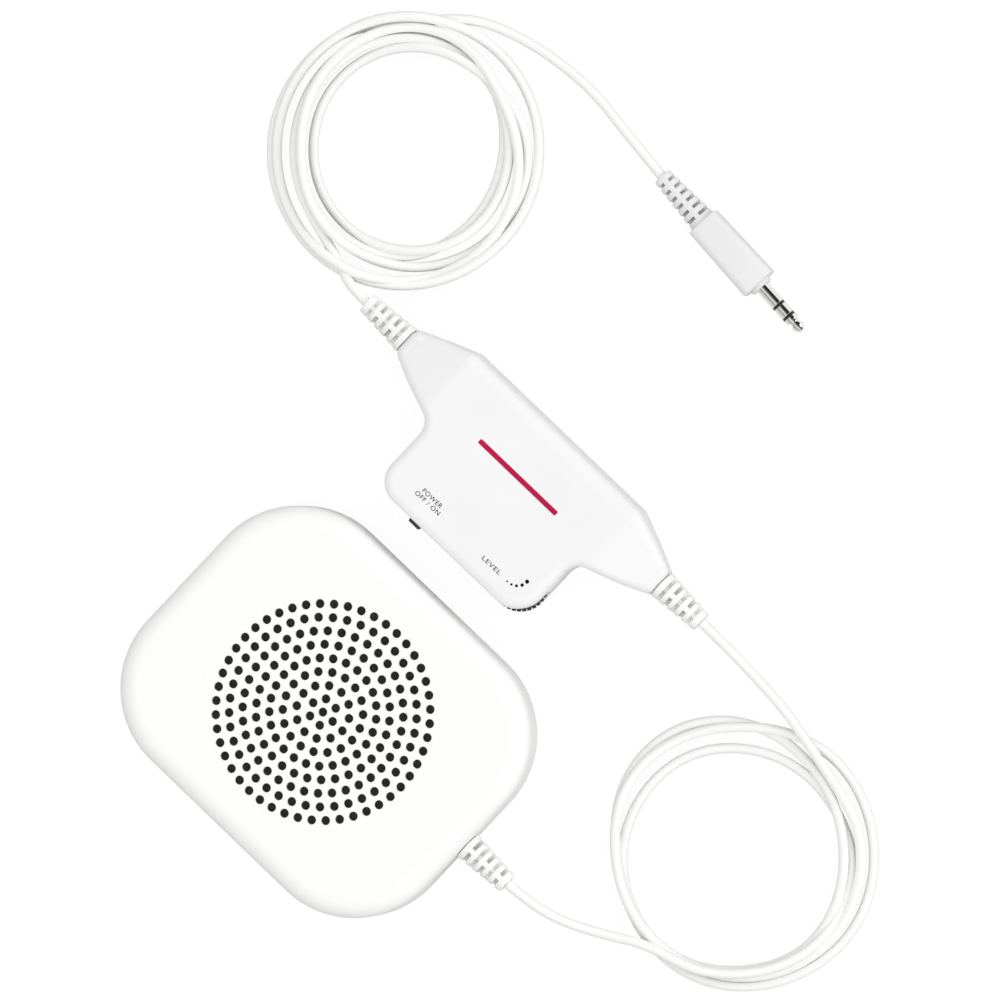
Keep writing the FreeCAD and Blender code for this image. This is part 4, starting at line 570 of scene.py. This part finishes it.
class PillowSpeakerLook(bpy.types.PropertyGroup):
    """Colours and lengths that a user may change before the pieces are made."""

    case_colour: colour_property("Case colour", "Colour of the speaker's shells", (0.885, 0.885, 0.885))
    amplifier_colour: colour_property(
        "Amplifier colour", "Colour of the amplifier's shells and battery door", (0.89, 0.89, 0.89))
    cord_colour: colour_property("Cord colour", "Colour of both cords", (0.63, 0.63, 0.63))
    relief_colour: colour_property(
        "Strain relief colour", "Colour of the three slotted strain reliefs", (0.86, 0.86, 0.86))
    grip_colour: colour_property("Grip colour", "Colour of the plug's moulding", (0.82, 0.82, 0.82))
    stripe_colour: colour_property(
        "Stripe colour", "Colour of the plain stripe on the amplifier", (0.50, 0.006, 0.06))
    speaker_cord_length: length_property(
        "Speaker cord length", "Length of the cord from the speaker to the amplifier", 0.70)
    plug_cord_length: length_property(
        "Plug cord length", "Length of the cord from the amplifier to the plug", 1.02)


# Operators
class PILLOW_OT_stage(bpy.types.Operator):
    """Make the floor, the soft studio light and the camera at the photograph's angle"""

    bl_idname = "pillow.stage"
    bl_label = "Stage, light and camera"

    def execute(self, context):
        scene = context.scene
        self.floor(scene)
        self.sky(scene)
        self.sun(scene)
        self.camera(scene)
        scene.view_settings.view_transform = "Standard"
        return {"FINISHED"}

    def floor(self, scene):
        """White floor that glows for the camera and bounces little light back at the part."""
        half, z = FLOOR_HALF, FLOOR_AT
        mesh = bpy.data.meshes.new("floor")
        mesh.from_pydata([(-half, -half, z), (half, -half, z), (half, half, z), (-half, half, z)],
                         [], [(0, 1, 2, 3)])
        floor = bpy.data.objects.new("floor", mesh)
        scene.collection.objects.link(floor)
        item, shader, node, link = material("floor_white")
        tree = item.node_tree
        shader.inputs["Roughness"].default_value = 0.8
        path = node("ShaderNodeLightPath")
        seen = node("ShaderNodeMath", {0: path.outputs["Is Camera Ray"], 1: path.outputs["Is Glossy Ray"]},
                    operation="MAXIMUM")
        seen = node("ShaderNodeMath", {0: seen.outputs["Value"], 1: path.outputs["Is Transmission Ray"]},
                    operation="MAXIMUM")
        tone = node("ShaderNodeMapRange", {"Value": seen.outputs["Value"], "To Min": FLOOR_BOUNCED,
                                           "To Max": FLOOR_SEEN})
        link(tone.outputs["Result"], "Base Color")
        share = node("ShaderNodeMath", {0: seen.outputs["Value"], 1: FLOOR_GLOW_SHARE},
                     operation="MULTIPLY")
        glow = node("ShaderNodeEmission", {"Color": (1, 1, 1, 1), "Strength": FLOOR_GLOW})
        mix = node("ShaderNodeMixShader", {0: share.outputs["Value"], 1: shader.outputs["BSDF"],
                                           2: glow.outputs["Emission"]})
        tree.links.new(mix.outputs["Shader"], tree.nodes["Material Output"].inputs["Surface"])
        mesh.materials.append(item)

    def sky(self, scene):
        """Even sky, a little brighter towards the sun, with a dark card that only shiny pieces see."""
        world = bpy.data.worlds.new("soft_box")
        world.use_nodes = True
        scene.world = world
        tree = world.node_tree
        back = tree.nodes["Background"]
        where = tree.nodes.new("ShaderNodeTexCoord")
        lean = self.facing(tree, where, (math.cos(LIGHT_TURN), math.sin(LIGHT_TURN), 0.0),
                           SKY_FAR, SKY_NEAR)
        side = self.facing(tree, where, (0.0, 1.0, 0.0), 0.0, 1.0)
        band = tree.nodes.new("ShaderNodeValToRGB")
        ramp = band.color_ramp.elements
        ramp[0].position, ramp[1].position = 0.0, 1.0
        ramp[0].color = ramp[1].color = (1, 1, 1, 1)
        for position, tone in SKY_CARD:
            ramp.new(position).color = (tone, tone, tone, 1)
        path = tree.nodes.new("ShaderNodeLightPath")
        mirror = tree.nodes.new("ShaderNodeMix")
        mirror.data_type = "RGBA"
        mirror.inputs["A"].default_value = (1, 1, 1, 1)
        tree.links.new(side.outputs["Result"], band.inputs["Fac"])
        tree.links.new(path.outputs["Is Glossy Ray"], mirror.inputs["Factor"])
        tree.links.new(band.outputs["Color"], mirror.inputs["B"])
        tree.links.new(mirror.outputs["Result"], back.inputs["Color"])
        tree.links.new(lean.outputs["Result"], back.inputs["Strength"])

    def sun(self, scene):
        """Low wide sun that gives the plain sides their slight shade."""
        sun = bpy.data.objects.new("key_light", bpy.data.lights.new("key_light", "SUN"))
        sun.data.energy = SUN_STRENGTH
        sun.data.angle = math.radians(SUN_DEGREES)
        toward = Vector((math.cos(LIGHT_TURN), math.sin(LIGHT_TURN), SUN_HEIGHT))
        sun.rotation_mode = "QUATERNION"
        sun.rotation_quaternion = toward.to_track_quat("Z", "Y")
        scene.collection.objects.link(sun)

    def camera(self, scene):
        """Camera above the part, leaning by the photograph's tilt, through a long lens."""
        right = Vector((math.cos(PHOTO_TURN), math.sin(PHOTO_TURN), 0))
        up = Vector((-math.sin(PHOTO_TURN), math.cos(PHOTO_TURN), 0))
        back_axis = right * math.sin(PHOTO_TILT) + Vector((0, 0, math.cos(PHOTO_TILT)))
        across = right * math.cos(PHOTO_TILT) - Vector((0, 0, math.sin(PHOTO_TILT)))
        middle = IMAGE_SIZE / 2
        target = (right * ((middle - PHOTO_ZERO[0]) / PHOTO_SCALE / math.cos(PHOTO_TILT))
                  + up * ((PHOTO_ZERO[1] - middle) / PHOTO_SCALE)) * MM
        width = IMAGE_SIZE / PHOTO_SCALE * MM
        camera = bpy.data.cameras.new("camera")
        camera.lens, camera.sensor_width = LENS, SENSOR
        distance = width / camera.sensor_width * camera.lens
        camera.clip_start, camera.clip_end = 0.1, 20.0
        holder = bpy.data.objects.new("camera", camera)
        axes = Matrix((across, up, back_axis)).transposed()
        holder.matrix_world = Matrix.Translation(target + back_axis * distance) @ axes.to_4x4()
        scene.collection.objects.link(holder)
        scene.camera = holder

    def facing(self, tree, where, direction, away, towards):
        """Node that goes from one value to another as the sky's direction turns to a given one."""
        product = tree.nodes.new("ShaderNodeVectorMath")
        product.operation = "DOT_PRODUCT"
        product.inputs[1].default_value = direction
        span = tree.nodes.new("ShaderNodeMapRange")
        span.inputs["From Min"].default_value, span.inputs["From Max"].default_value = -1.0, 1.0
        span.inputs["To Min"].default_value, span.inputs["To Max"].default_value = away, towards
        tree.links.new(where.outputs["Generated"], product.inputs[0])
        tree.links.new(product.outputs["Value"], span.inputs["Value"])
        return span


class PILLOW_OT_cords(bpy.types.Operator):
    """Lay both cords: speaker to amplifier, and amplifier to plug"""

    bl_idname = "pillow.cords"
    bl_label = "Cords"

    def execute(self, context):
        look = context.scene.pillow_speaker_look
        route = coiled_route(
            SPEAKER_TAIL, SPEAKER_COIL, AMP_TAIL, SPEAKER_COIL_AT, 1,
            lambda angle: np.where(angle < SPEAKER_OVER_UNTIL, angle + SPEAKER_OVER_BY, angle))
        cord_piece("speaker_cord", route, look.speaker_cord_length,
                   ("speaker_cord_start", "speaker_cord_end", "speaker_cord_coil"))
        route = coiled_route(
            COIL_TAIL, PLUG_COIL, PLUG_TAIL, PLUG_COIL_AT, -1,
            lambda angle: np.where(angle > PLUG_UNDER_FROM, angle - PLUG_UNDER_BY, angle))
        cord_piece("plug_cord", route, look.plug_cord_length,
                   ("plug_cord_start", "plug_cord_end", "plug_cord_coil"), plug_pieces())
        return {"FINISHED"}


def hole_cells(ring, low, high):
    """The cells of one ring of the grille: each is a sector of the ring with a round hole in it,
    joined from the sector's outline through the rounded edge and the bore to the underside.
    A point of the outline is the point of a square seen under the same angle from the hole."""
    if ring:
        count, radius = HOLES_PER_RING[ring - 1], ring * PITCH
    else:
        count, radius = 1, 0.0
    inset, flat_rim = 0.04, 0.06
    half = PITCH / 2 - inset
    direction = circle(24)
    square = direction / abs(direction).max(axis=1)[:, None]
    spots = (math.pi if ring else 0.0) + np.arange(count) * 2 * math.pi / count
    if ring:
        reach = radius + square[:, 0] * half
        turn = spots[:, None] + square[None, :, 1] * math.pi / count
        outline = np.stack([reach * np.cos(turn), reach * np.sin(turn)], axis=2)
    else:
        outline = (direction * half)[None]
    centre = np.stack([radius * np.cos(spots), radius * np.sin(spots)], axis=1)
    local = np.stack([np.stack([np.cos(spots), np.sin(spots)], axis=1),
                      np.stack([-np.sin(spots), np.cos(spots)], axis=1)], axis=1)
    rim = np.einsum("mk,nkj->nmj", direction, local)
    out, down = bend(5)
    rows = [(outline, high)]
    rows.append((centre[:, None] + rim * (HOLE + HOLE_EDGE + flat_rim), high))
    for push, drop in zip(1 - out, down):
        rows.append((centre[:, None] + rim * (HOLE + HOLE_EDGE * push), high - HOLE_EDGE * drop))
    rows.append((centre[:, None] + rim * HOLE, low))
    rows.append((outline, low))
    grid = np.stack([np.concatenate([flat, np.full(flat.shape[:2] + (1,), z)], axis=2)
                     for flat, z in rows], axis=1)
    return grid, outline, square


class PILLOW_OT_speaker_case(bpy.types.Operator):
    """Make the speaker's front shell with its grille, and finish the rear shell"""

    bl_idname = "pillow.speaker_case"
    bl_label = "Speaker case"

    def execute(self, context):
        surface = Surface()
        high, low = CASE["height"], CASE["height"] - CASE["wall"]
        loops = []
        for ring in range(len(HOLES_PER_RING) + 1):
            grid, outline, square = hole_cells(ring, low, high)
            cells, rows, columns = grid.shape[:3]
            one = quads(rows, columns)
            faces = (one[None] + (np.arange(cells) * rows * columns)[:, None, None]).reshape(-1, 4)
            surface.add(grid, faces)
            if ring:
                inner = outline[:, np.isclose(square[:, 0], -1)].reshape(-1, 2)
                outer = outline[:, np.isclose(square[:, 0], 1)].reshape(-1, 2)
                loops.append((self.single(inner), self.single(outer)))
            else:
                loops.append((None, outline[0]))
        for inside, outside in zip(loops, loops[1:]):
            for z in (low, high):
                surface.zip(level(inside[1], z), level(outside[0], z))
        self.shell(surface, loops[-1][1], low, high)
        front = surface.build("front_shell", "case", "case_white", sharp=24)
        front.data.materials.append(finish_of("case_white"))
        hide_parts("speaker_front_shell")
        dress("speaker_rear_shell", finish_of("case_white"))
        dress("speaker_case_screws", finish_of("steel"))
        dress("grille_cloth", finish_of("cloth_black"))
        return {"FINISHED"}

    def single(self, loop):
        """A loop without the points that neighbouring cells both have."""
        angle = np.round(np.arctan2(loop[:, 1], loop[:, 0]), 6)
        return loop[np.unique(angle, return_index=True)[1]]

    def shell(self, surface, edge, low, high):
        """Face, rounded edge and wall down to the joint, and back up inside: each loop is the
        flat face's outline moved outwards along its normals."""
        round_grille, flat_rim = 0.08, 0.2
        corner = CASE["corner"] - CASE["front"]
        face, normal = rounded_box_loop(CASE["half_x"] - CASE["front"], CASE["half_y"] - CASE["front"],
                                        corner)
        angle = np.arctan2(face[:, 1], face[:, 0])
        reach = np.hypot(edge[0, 0], edge[0, 1]) + round_grille
        start = reach * np.stack([np.cos(angle), np.sin(angle)], axis=1)
        out, down = bend(12)
        rings = [level(start, high), level(face - normal * flat_rim, high)]
        rings += [level(face + normal * CASE["front"] * push, high - CASE["front"] * drop)
                  for push, drop in zip(out, down)]
        wall = face + normal * CASE["front"]
        seam = CASE["split"]
        rings += [level(wall, seam + SEAM * 2), level(wall - normal * SEAM, seam + SEAM)]
        inner = wall - normal * CASE["wall"]
        curve = CASE["front"] - CASE["wall"]
        rings.append(level(inner, seam + SEAM))
        rings += [level(inner - normal * curve * (1 - push), low - curve * drop)
                  for push, drop in zip(out[::-4], down[::-4])]
        rings.append(level(start, low))
        surface.loft(rings)
        for z in (low, high):
            surface.zip(level(edge, z), level(start, z))


def amp_face():
    """Outline of the amplifier's flat top, inside its rounded edge, about the amplifier's own middle:
    the plan with round corners, moved in by the edge's radius, with extra points at the creases.
    After it come the outward normals, the edge's radius at each point, and where the creases cut."""
    wall, normal = rounded_outline(*zip(*AMP_PLAN))
    face = wall - normal * amp_edge(normal)
    cuts = [sign * (CREASE + shift) for sign in (-1, 1) for shift in CREASE_CUTS]
    face, normal = with_cuts(face, normal, cuts)
    return face, normal, amp_edge(normal), cuts


def amp_edge(normal):
    """Radius of the top edge's rounding where the wall faces along the normal."""
    return AMP_EDGE + PLAIN_SIDE_MORE * np.clip(normal[:, 1:], 0, None) ** PLAIN_SIDE_FADE


def amp_height(x):
    """Height of the top over the joint: level in the middle, a soft crease, then a steady fall."""
    past = np.clip(abs(x) - (CREASE - CREASE_SOFT), 0, 2 * CREASE_SOFT)
    beyond = np.clip(abs(x) - (CREASE + CREASE_SOFT), 0, None)
    return AMP_HEIGHT - AMP_SPLIT - FALL * (past ** 2 / (4 * CREASE_SOFT) + beyond)


def block(low, high):
    """An upright box for cutting, from its two corners."""
    surface = Surface()
    loop = np.array([(low[0], low[1]), (high[0], low[1]), (high[0], high[1]), (low[0], high[1])])
    surface.solid([level(loop, low[2]), level(loop, high[2])])
    return surface


def drum(centre, radius, low, high):
    """An upright cylinder for cutting."""
    surface = Surface()
    loop = circle(96, radius) + np.array(centre)
    surface.solid([level(loop, low), level(loop, high)])
    return surface


def carve(item, cutters):
    """Cut openings into a finished shell and keep the result as its mesh."""
    tools = []
    for number, surface in enumerate(cutters):
        mesh = bpy.data.meshes.new("cutter")
        mesh.from_pydata((surface.points * MM).tolist(), [], surface.faces)
        tool = bpy.data.objects.new("cutter_%d" % number, mesh)
        bpy.context.scene.collection.objects.link(tool)
        cut = item.modifiers.new("opening", "BOOLEAN")
        cut.operation, cut.solver, cut.object = "DIFFERENCE", "EXACT", tool
        tools.append(tool)
    graph = bpy.context.evaluated_depsgraph_get()
    graph.update()
    shaped = bpy.data.meshes.new_from_object(item.evaluated_get(graph))
    item.modifiers.clear()
    item.data = shaped
    for tool in tools:
        bpy.data.objects.remove(tool)
    shaped.shade_smooth()
    shaped.set_sharp_from_angle(angle=math.radians(24))


class PILLOW_OT_amplifier_case(bpy.types.Operator):
    """Make the amplifier's top shell and finish its other case pieces"""

    bl_idname = "pillow.amplifier_case"
    bl_label = "Amplifier case"

    def execute(self, context):
        face, normal, edge, cuts = amp_face()
        count = len(face)
        surface = Surface()
        top = amp_height(face[:, 0])
        flat_rim = face - normal * 0.15
        out, down = bend(12)
        rings = [level(flat_rim, amp_height(flat_rim[:, 0]))]
        rings += [level(face + normal * edge * push, top - edge[:, 0] * drop)
                  for push, drop in zip(out, down)]
        wall = face + normal * edge
        rings += [level(wall, 2 * SEAM), level(wall - normal * SEAM, SEAM)]
        start = surface.loft(rings)
        bounds = [-np.inf] + sorted(cuts) + [np.inf]
        for left, right in zip(bounds, bounds[1:]):
            inside = np.nonzero((face[:, 0] > left - 1e-6) & (face[:, 0] < right + 1e-6))[0]
            surface.cap(start, count, inside.tolist())
        surface.points += np.array([AMP_X, AMP_Y, AMP_SPLIT])
        item = surface.build("amplifier_top", "case", "case_white", sharp=24)
        solidify = item.modifiers.new("wall", "SOLIDIFY")
        solidify.thickness = AMP_WALL * MM
        solidify.offset = -1
        item.data.materials.append(finish_of("amplifier_white"))
        wheel, knob = WHEEL_OPENING, KNOB_OPENING
        carve(item, [drum(WHEEL_AT, wheel["radius"], wheel["low"], wheel["high"]),
                     block((KNOB_X - knob["left"], AMP_Y - knob["outer"], knob["low"]),
                           (KNOB_X + knob["right"], AMP_Y - knob["inner"], knob["high"]))])
        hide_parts("amp_top_shell")
        for name in ("amp_bottom_shell", "battery_door"):
            dress(name, finish_of("amplifier_white"))
        dress("amp_case_screws", finish_of("steel"))
        return {"FINISHED"}


def slot_row(kinds, first, pitch, half):
    """Slots of the given kinds one after another, as (low, high, kind): the first slot's middle lies
    at a given place and the next ones follow at a pitch."""
    return [(first + pitch * number - half, first + pitch * number + half, kind)
            for number, kind in enumerate(kinds)]


def slotted_taper(profile, slots, points=72):
    """Rings of a slotted moulding along +X. The section is a circle. In an upright slot the points
    above and below go straight down to a thin web with a rib in its middle; in a side slot the
    points beside the rib go in to it, and a skin stays underneath."""
    angle = np.arange(points) * 2 * math.pi / points
    rows = [(x, radius, 0) for x, radius in profile
            if not any(low - SLOT_CLEAR < x < high + SLOT_CLEAR for low, high, _ in slots)]
    for low, high, kind in slots:
        for edge, outwards in ((low, -1), (high, 1)):
            radius = np.interp(edge, *zip(*profile))
            rows += [(edge + outwards * BEVEL_ALONG, radius, 0), (edge, radius - BEVEL_IN, 0),
                     (edge - outwards * SHARP_STEP, radius - BEVEL_IN, kind)]
    rings = []
    for x, radius, kind in sorted(rows, key=lambda row: row[0]):
        y, z = radius * np.cos(angle), radius * np.sin(angle)
        if kind == UPRIGHT:
            reach = np.where(abs(y) < RIB_HALF, RIB_HIGH, WEB_HALF)
            z = np.clip(z, -reach, reach)
        if kind == SIDE:
            y = np.where(z > SKIN_TOP, np.clip(y, -RIB_HALF, RIB_HALF), y)
        rings.append(np.stack([np.full(points, x), y, z], axis=1))
    return rings


def along(points, origin, degrees):
    """Points of a piece made along +X, turned about Z and moved to their place."""
    c, s = math.cos(math.radians(degrees)), math.sin(math.radians(degrees))
    turned = points.copy()
    turned[:, 0] = c * points[:, 0] - s * points[:, 1]
    turned[:, 1] = s * points[:, 0] + c * points[:, 1]
    return turned + np.array(origin)


class PILLOW_OT_strain_reliefs(bpy.types.Operator):
    """Make the three slotted strain reliefs where the cords leave their cases"""

    bl_idname = "pillow.strain_reliefs"
    bl_label = "Strain reliefs"

    def execute(self, context):
        for name, node, origin, degrees, kinds in RELIEFS:
            surface = Surface()
            surface.solid(slotted_taper(RELIEF_PROFILE, slot_row(kinds, **RELIEF_SLOTS)))
            surface.points = along(surface.points, origin, degrees)
            item = surface.build(name, "case", "flex_white", sharp=32)
            item.data.materials.append(finish_of("flex_white"))
            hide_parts(node)
        return {"FINISHED"}


def turned_rings(profile, points):
    """Rings of a turned piece along +X: the profile's (distance, radius) points carried round its axis."""
    ring = circle(points)
    return [np.stack([np.full(points, x), radius * ring[:, 0], radius * ring[:, 1]], axis=1)
            for x, radius in profile]


def plug_pieces():
    """Moulding and metal of the plug: the grip with its slotted strain relief and its collar, then
    the turned pieces. The grip is a box with round edges, narrower towards the cord."""
    half_y, half_z, edge, length, relief, end, face = 4.4, 4.0, 2.0, 20.5, 14.3, 0.45, 0.9
    narrow, tail = 0.93, -length - relief
    surface = Surface()
    out, down = bend(5)
    arc = np.radians(np.concatenate([np.linspace(0, 90, 9) + 90 * turn for turn in range(4)]))
    ys = np.repeat([1, -1, -1, 1], 9) * (half_y - edge)
    zs = np.repeat([1, 1, -1, -1], 9) * (half_z - edge)
    rows = [(-length + end - end * push, edge - end * drop) for push, drop in zip(out[::-1], down[::-1])]
    rows += [(-face - end + end * push, edge - end * drop) for push, drop in zip(out, down)]
    taper = [1.0 if x > -length / 2 else narrow for x, _ in rows]
    surface.solid([np.stack([np.full(36, x), (ys + spread * np.cos(arc)) * share,
                             zs + spread * np.sin(arc)], axis=1)
                   for (x, spread), share in zip(rows, taper)])
    slots = slot_row((SIDE,) * 6, tail + PLUG_SLOTS["first"], PLUG_SLOTS["pitch"], PLUG_SLOTS["half"])
    profile = [(tail, 1.2), (tail + 0.001, 2.1), (tail + 0.15, 2.25), (tail + 0.35, 2.32),
               (-length + 0.3, 3.3), (-length + 2.0, 3.3)]
    surface.solid(slotted_taper(profile, slots))
    surface.solid(turned_rings(PLUG_COLLAR, 48))
    surface.points = along(surface.points, PLUG_AT, PLUG_DEGREES)
    grip = surface.build("plug_grip", "case", "flex_white", sharp=32, weld=False)
    grip.data.materials.append(finish_of("grip_white"))
    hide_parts("plug_moulding")
    pieces = [grip]
    for name, node, finish, profile in PLUG_TURNED:
        surface = Surface()
        surface.solid(turned_rings(profile, 64))
        surface.points = along(surface.points, PLUG_AT, PLUG_DEGREES)
        piece = surface.build(name, "case", finish, sharp=25)
        piece.data.materials.append(finish_of(finish))
        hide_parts(node)
        pieces.append(piece)
    return pieces


def printed(name, surface, finish):
    """Thin print a hair above the amplifier's flat top."""
    item = surface.build(name, "case", "black_plastic")
    item.data.materials.append(finish_of(finish))
    return item


def lettering(words, start, height, width):
    """Outline letters as a mesh: set in a plain face, scaled to a capital height and a length,
    and moved to the start of their baseline."""
    curve = bpy.data.curves.new("letters", "FONT")
    curve.body = words
    curve.space_character = LETTER_SPACING
    curve.offset = LETTER_WEIGHT
    holder = bpy.data.objects.new("letters", curve)
    bpy.context.scene.collection.objects.link(holder)
    graph = bpy.context.evaluated_depsgraph_get()
    graph.update()
    mesh = bpy.data.meshes.new_from_object(holder.evaluated_get(graph))
    points = np.empty(len(mesh.vertices) * 3)
    mesh.vertices.foreach_get("co", points)
    points = points.reshape(-1, 3)
    faces = [list(face.vertices) for face in mesh.polygons]
    low, high = points.min(axis=0), points.max(axis=0)
    scale = np.array([width / (high[0] - low[0]), height / (high[1] - low[1]), 0])
    points = (points - low) * scale + np.array([start[0], start[1], PRINT_HEIGHT])
    bpy.data.objects.remove(holder)
    bpy.data.curves.remove(curve)
    return points, faces


class PILLOW_OT_controls(bpy.types.Operator):
    """Finish the volume wheel, make the switch's knob, and print their plain markings"""

    bl_idname = "pillow.controls"
    bl_label = "Controls and markings"

    def execute(self, context):
        dress("volume_wheel", finish_of("black_plastic"))
        dress("volume_wheel_screw", finish_of("steel"))
        self.knob()
        words = Surface()
        for word in WORDS:
            words.add(*lettering(*word))
        for number, spot in enumerate(DOTS):
            dot = circle(32, DOT_RADIUS + DOT_GROWTH * number) + np.array(spot)
            words.cap(words.add(level(dot, PRINT_HEIGHT), []), len(dot))
        printed("control_print", words, "print_grey")
        stripe = Surface()
        outline = rounded_box_loop(STRIPE["half_x"], STRIPE["half_y"], STRIPE["corner"], 8, 1)[0]
        outline += np.array(STRIPE["middle"])
        stripe.cap(stripe.add(level(outline, PRINT_HEIGHT), []), len(outline))
        printed("plain_stripe", stripe, "print_red")
        return {"FINISHED"}

    def knob(self):
        """The switch's knob: a thin bar through the slot, its outer end wavy with five grip ridges."""
        half, corner, inner, low, high, bevel = (
            KNOB[key] for key in ("half", "corner", "inner", "low", "high", "bevel"))
        surface = Surface()
        x = np.linspace(-half, half, 41)
        wave = KNOB["ridge"] * np.cos(x / (2 * half) * 2 * math.pi * KNOB["waves"]) ** 2
        ends = np.clip((half - abs(x)) / corner, 0, 1)
        outer = KNOB["outer"] + corner * (1 - np.sqrt(ends * (2 - ends))) - wave * ends
        loop = np.concatenate([np.stack([x, outer], axis=1), [(half, inner), (-half, inner)]])
        loop += np.array([KNOB_X, AMP_Y])
        middle = loop.mean(axis=0)
        shrink = middle + (loop - middle) * KNOB["shrink"]
        surface.solid([level(shrink, low), level(loop, low + bevel), level(loop, high - bevel),
                       level(shrink, high)])
        item = surface.build("knob", "knob", "black_plastic", sharp=35)
        item.data.materials.append(finish_of("black_plastic"))
        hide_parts("switch_knob")


class PILLOW_OT_inside(bpy.types.Operator):
    """Finish the loudspeaker, the battery bay and the circuit board"""

    bl_idname = "pillow.inside"
    bl_label = "Pieces inside"

    def execute(self, context):
        for entry in frame["record"]["subparts"]:
            item = frame["nodes"][entry["node"]]
            if not item.hide_render and not (item.data.materials and item.data.materials[0].name
                                             == entry["material_slot"]):
                dress(entry["node"], finish_of(entry["material_slot"]))
        return {"FINISHED"}


# Panel and registration
class PILLOW_PT_panel(bpy.types.Panel):
    """Sizes, colours and the steps that make the pieces"""

    bl_idname = "PILLOW_PT_panel"
    bl_label = "Pillow speaker"
    bl_space_type = "VIEW_3D"
    bl_region_type = "UI"
    bl_category = "Pillow speaker"

    def draw(self, context):
        """Show every property of the look, then one button for each step."""
        look = context.scene.pillow_speaker_look
        for name in PillowSpeakerLook.__annotations__:
            self.layout.prop(look, name)
        for step in STEPS:
            self.layout.operator(step.bl_idname)


STEPS = (PILLOW_OT_stage, PILLOW_OT_cords, PILLOW_OT_speaker_case, PILLOW_OT_amplifier_case,
         PILLOW_OT_strain_reliefs, PILLOW_OT_controls, PILLOW_OT_inside)
CLASSES = (PillowSpeakerLook, *STEPS, PILLOW_PT_panel)


def register():
    """Register the classes, and give every scene its look."""
    for entry in CLASSES:
        bpy.utils.register_class(entry)
    bpy.types.Scene.pillow_speaker_look = PointerProperty(type=PillowSpeakerLook)


def unregister():
    """Take the look and the classes away again."""
    del bpy.types.Scene.pillow_speaker_look
    for entry in reversed(CLASSES):
        bpy.utils.unregister_class(entry)


def main():
    """Run every step in its order."""
    register()
    bpy.ops.pillow.stage()
    bpy.ops.pillow.cords()
    bpy.ops.pillow.speaker_case()
    bpy.ops.pillow.amplifier_case()
    bpy.ops.pillow.strain_reliefs()
    bpy.ops.pillow.controls()
    bpy.ops.pillow.inside()


if __name__ == "__main__":
    main()
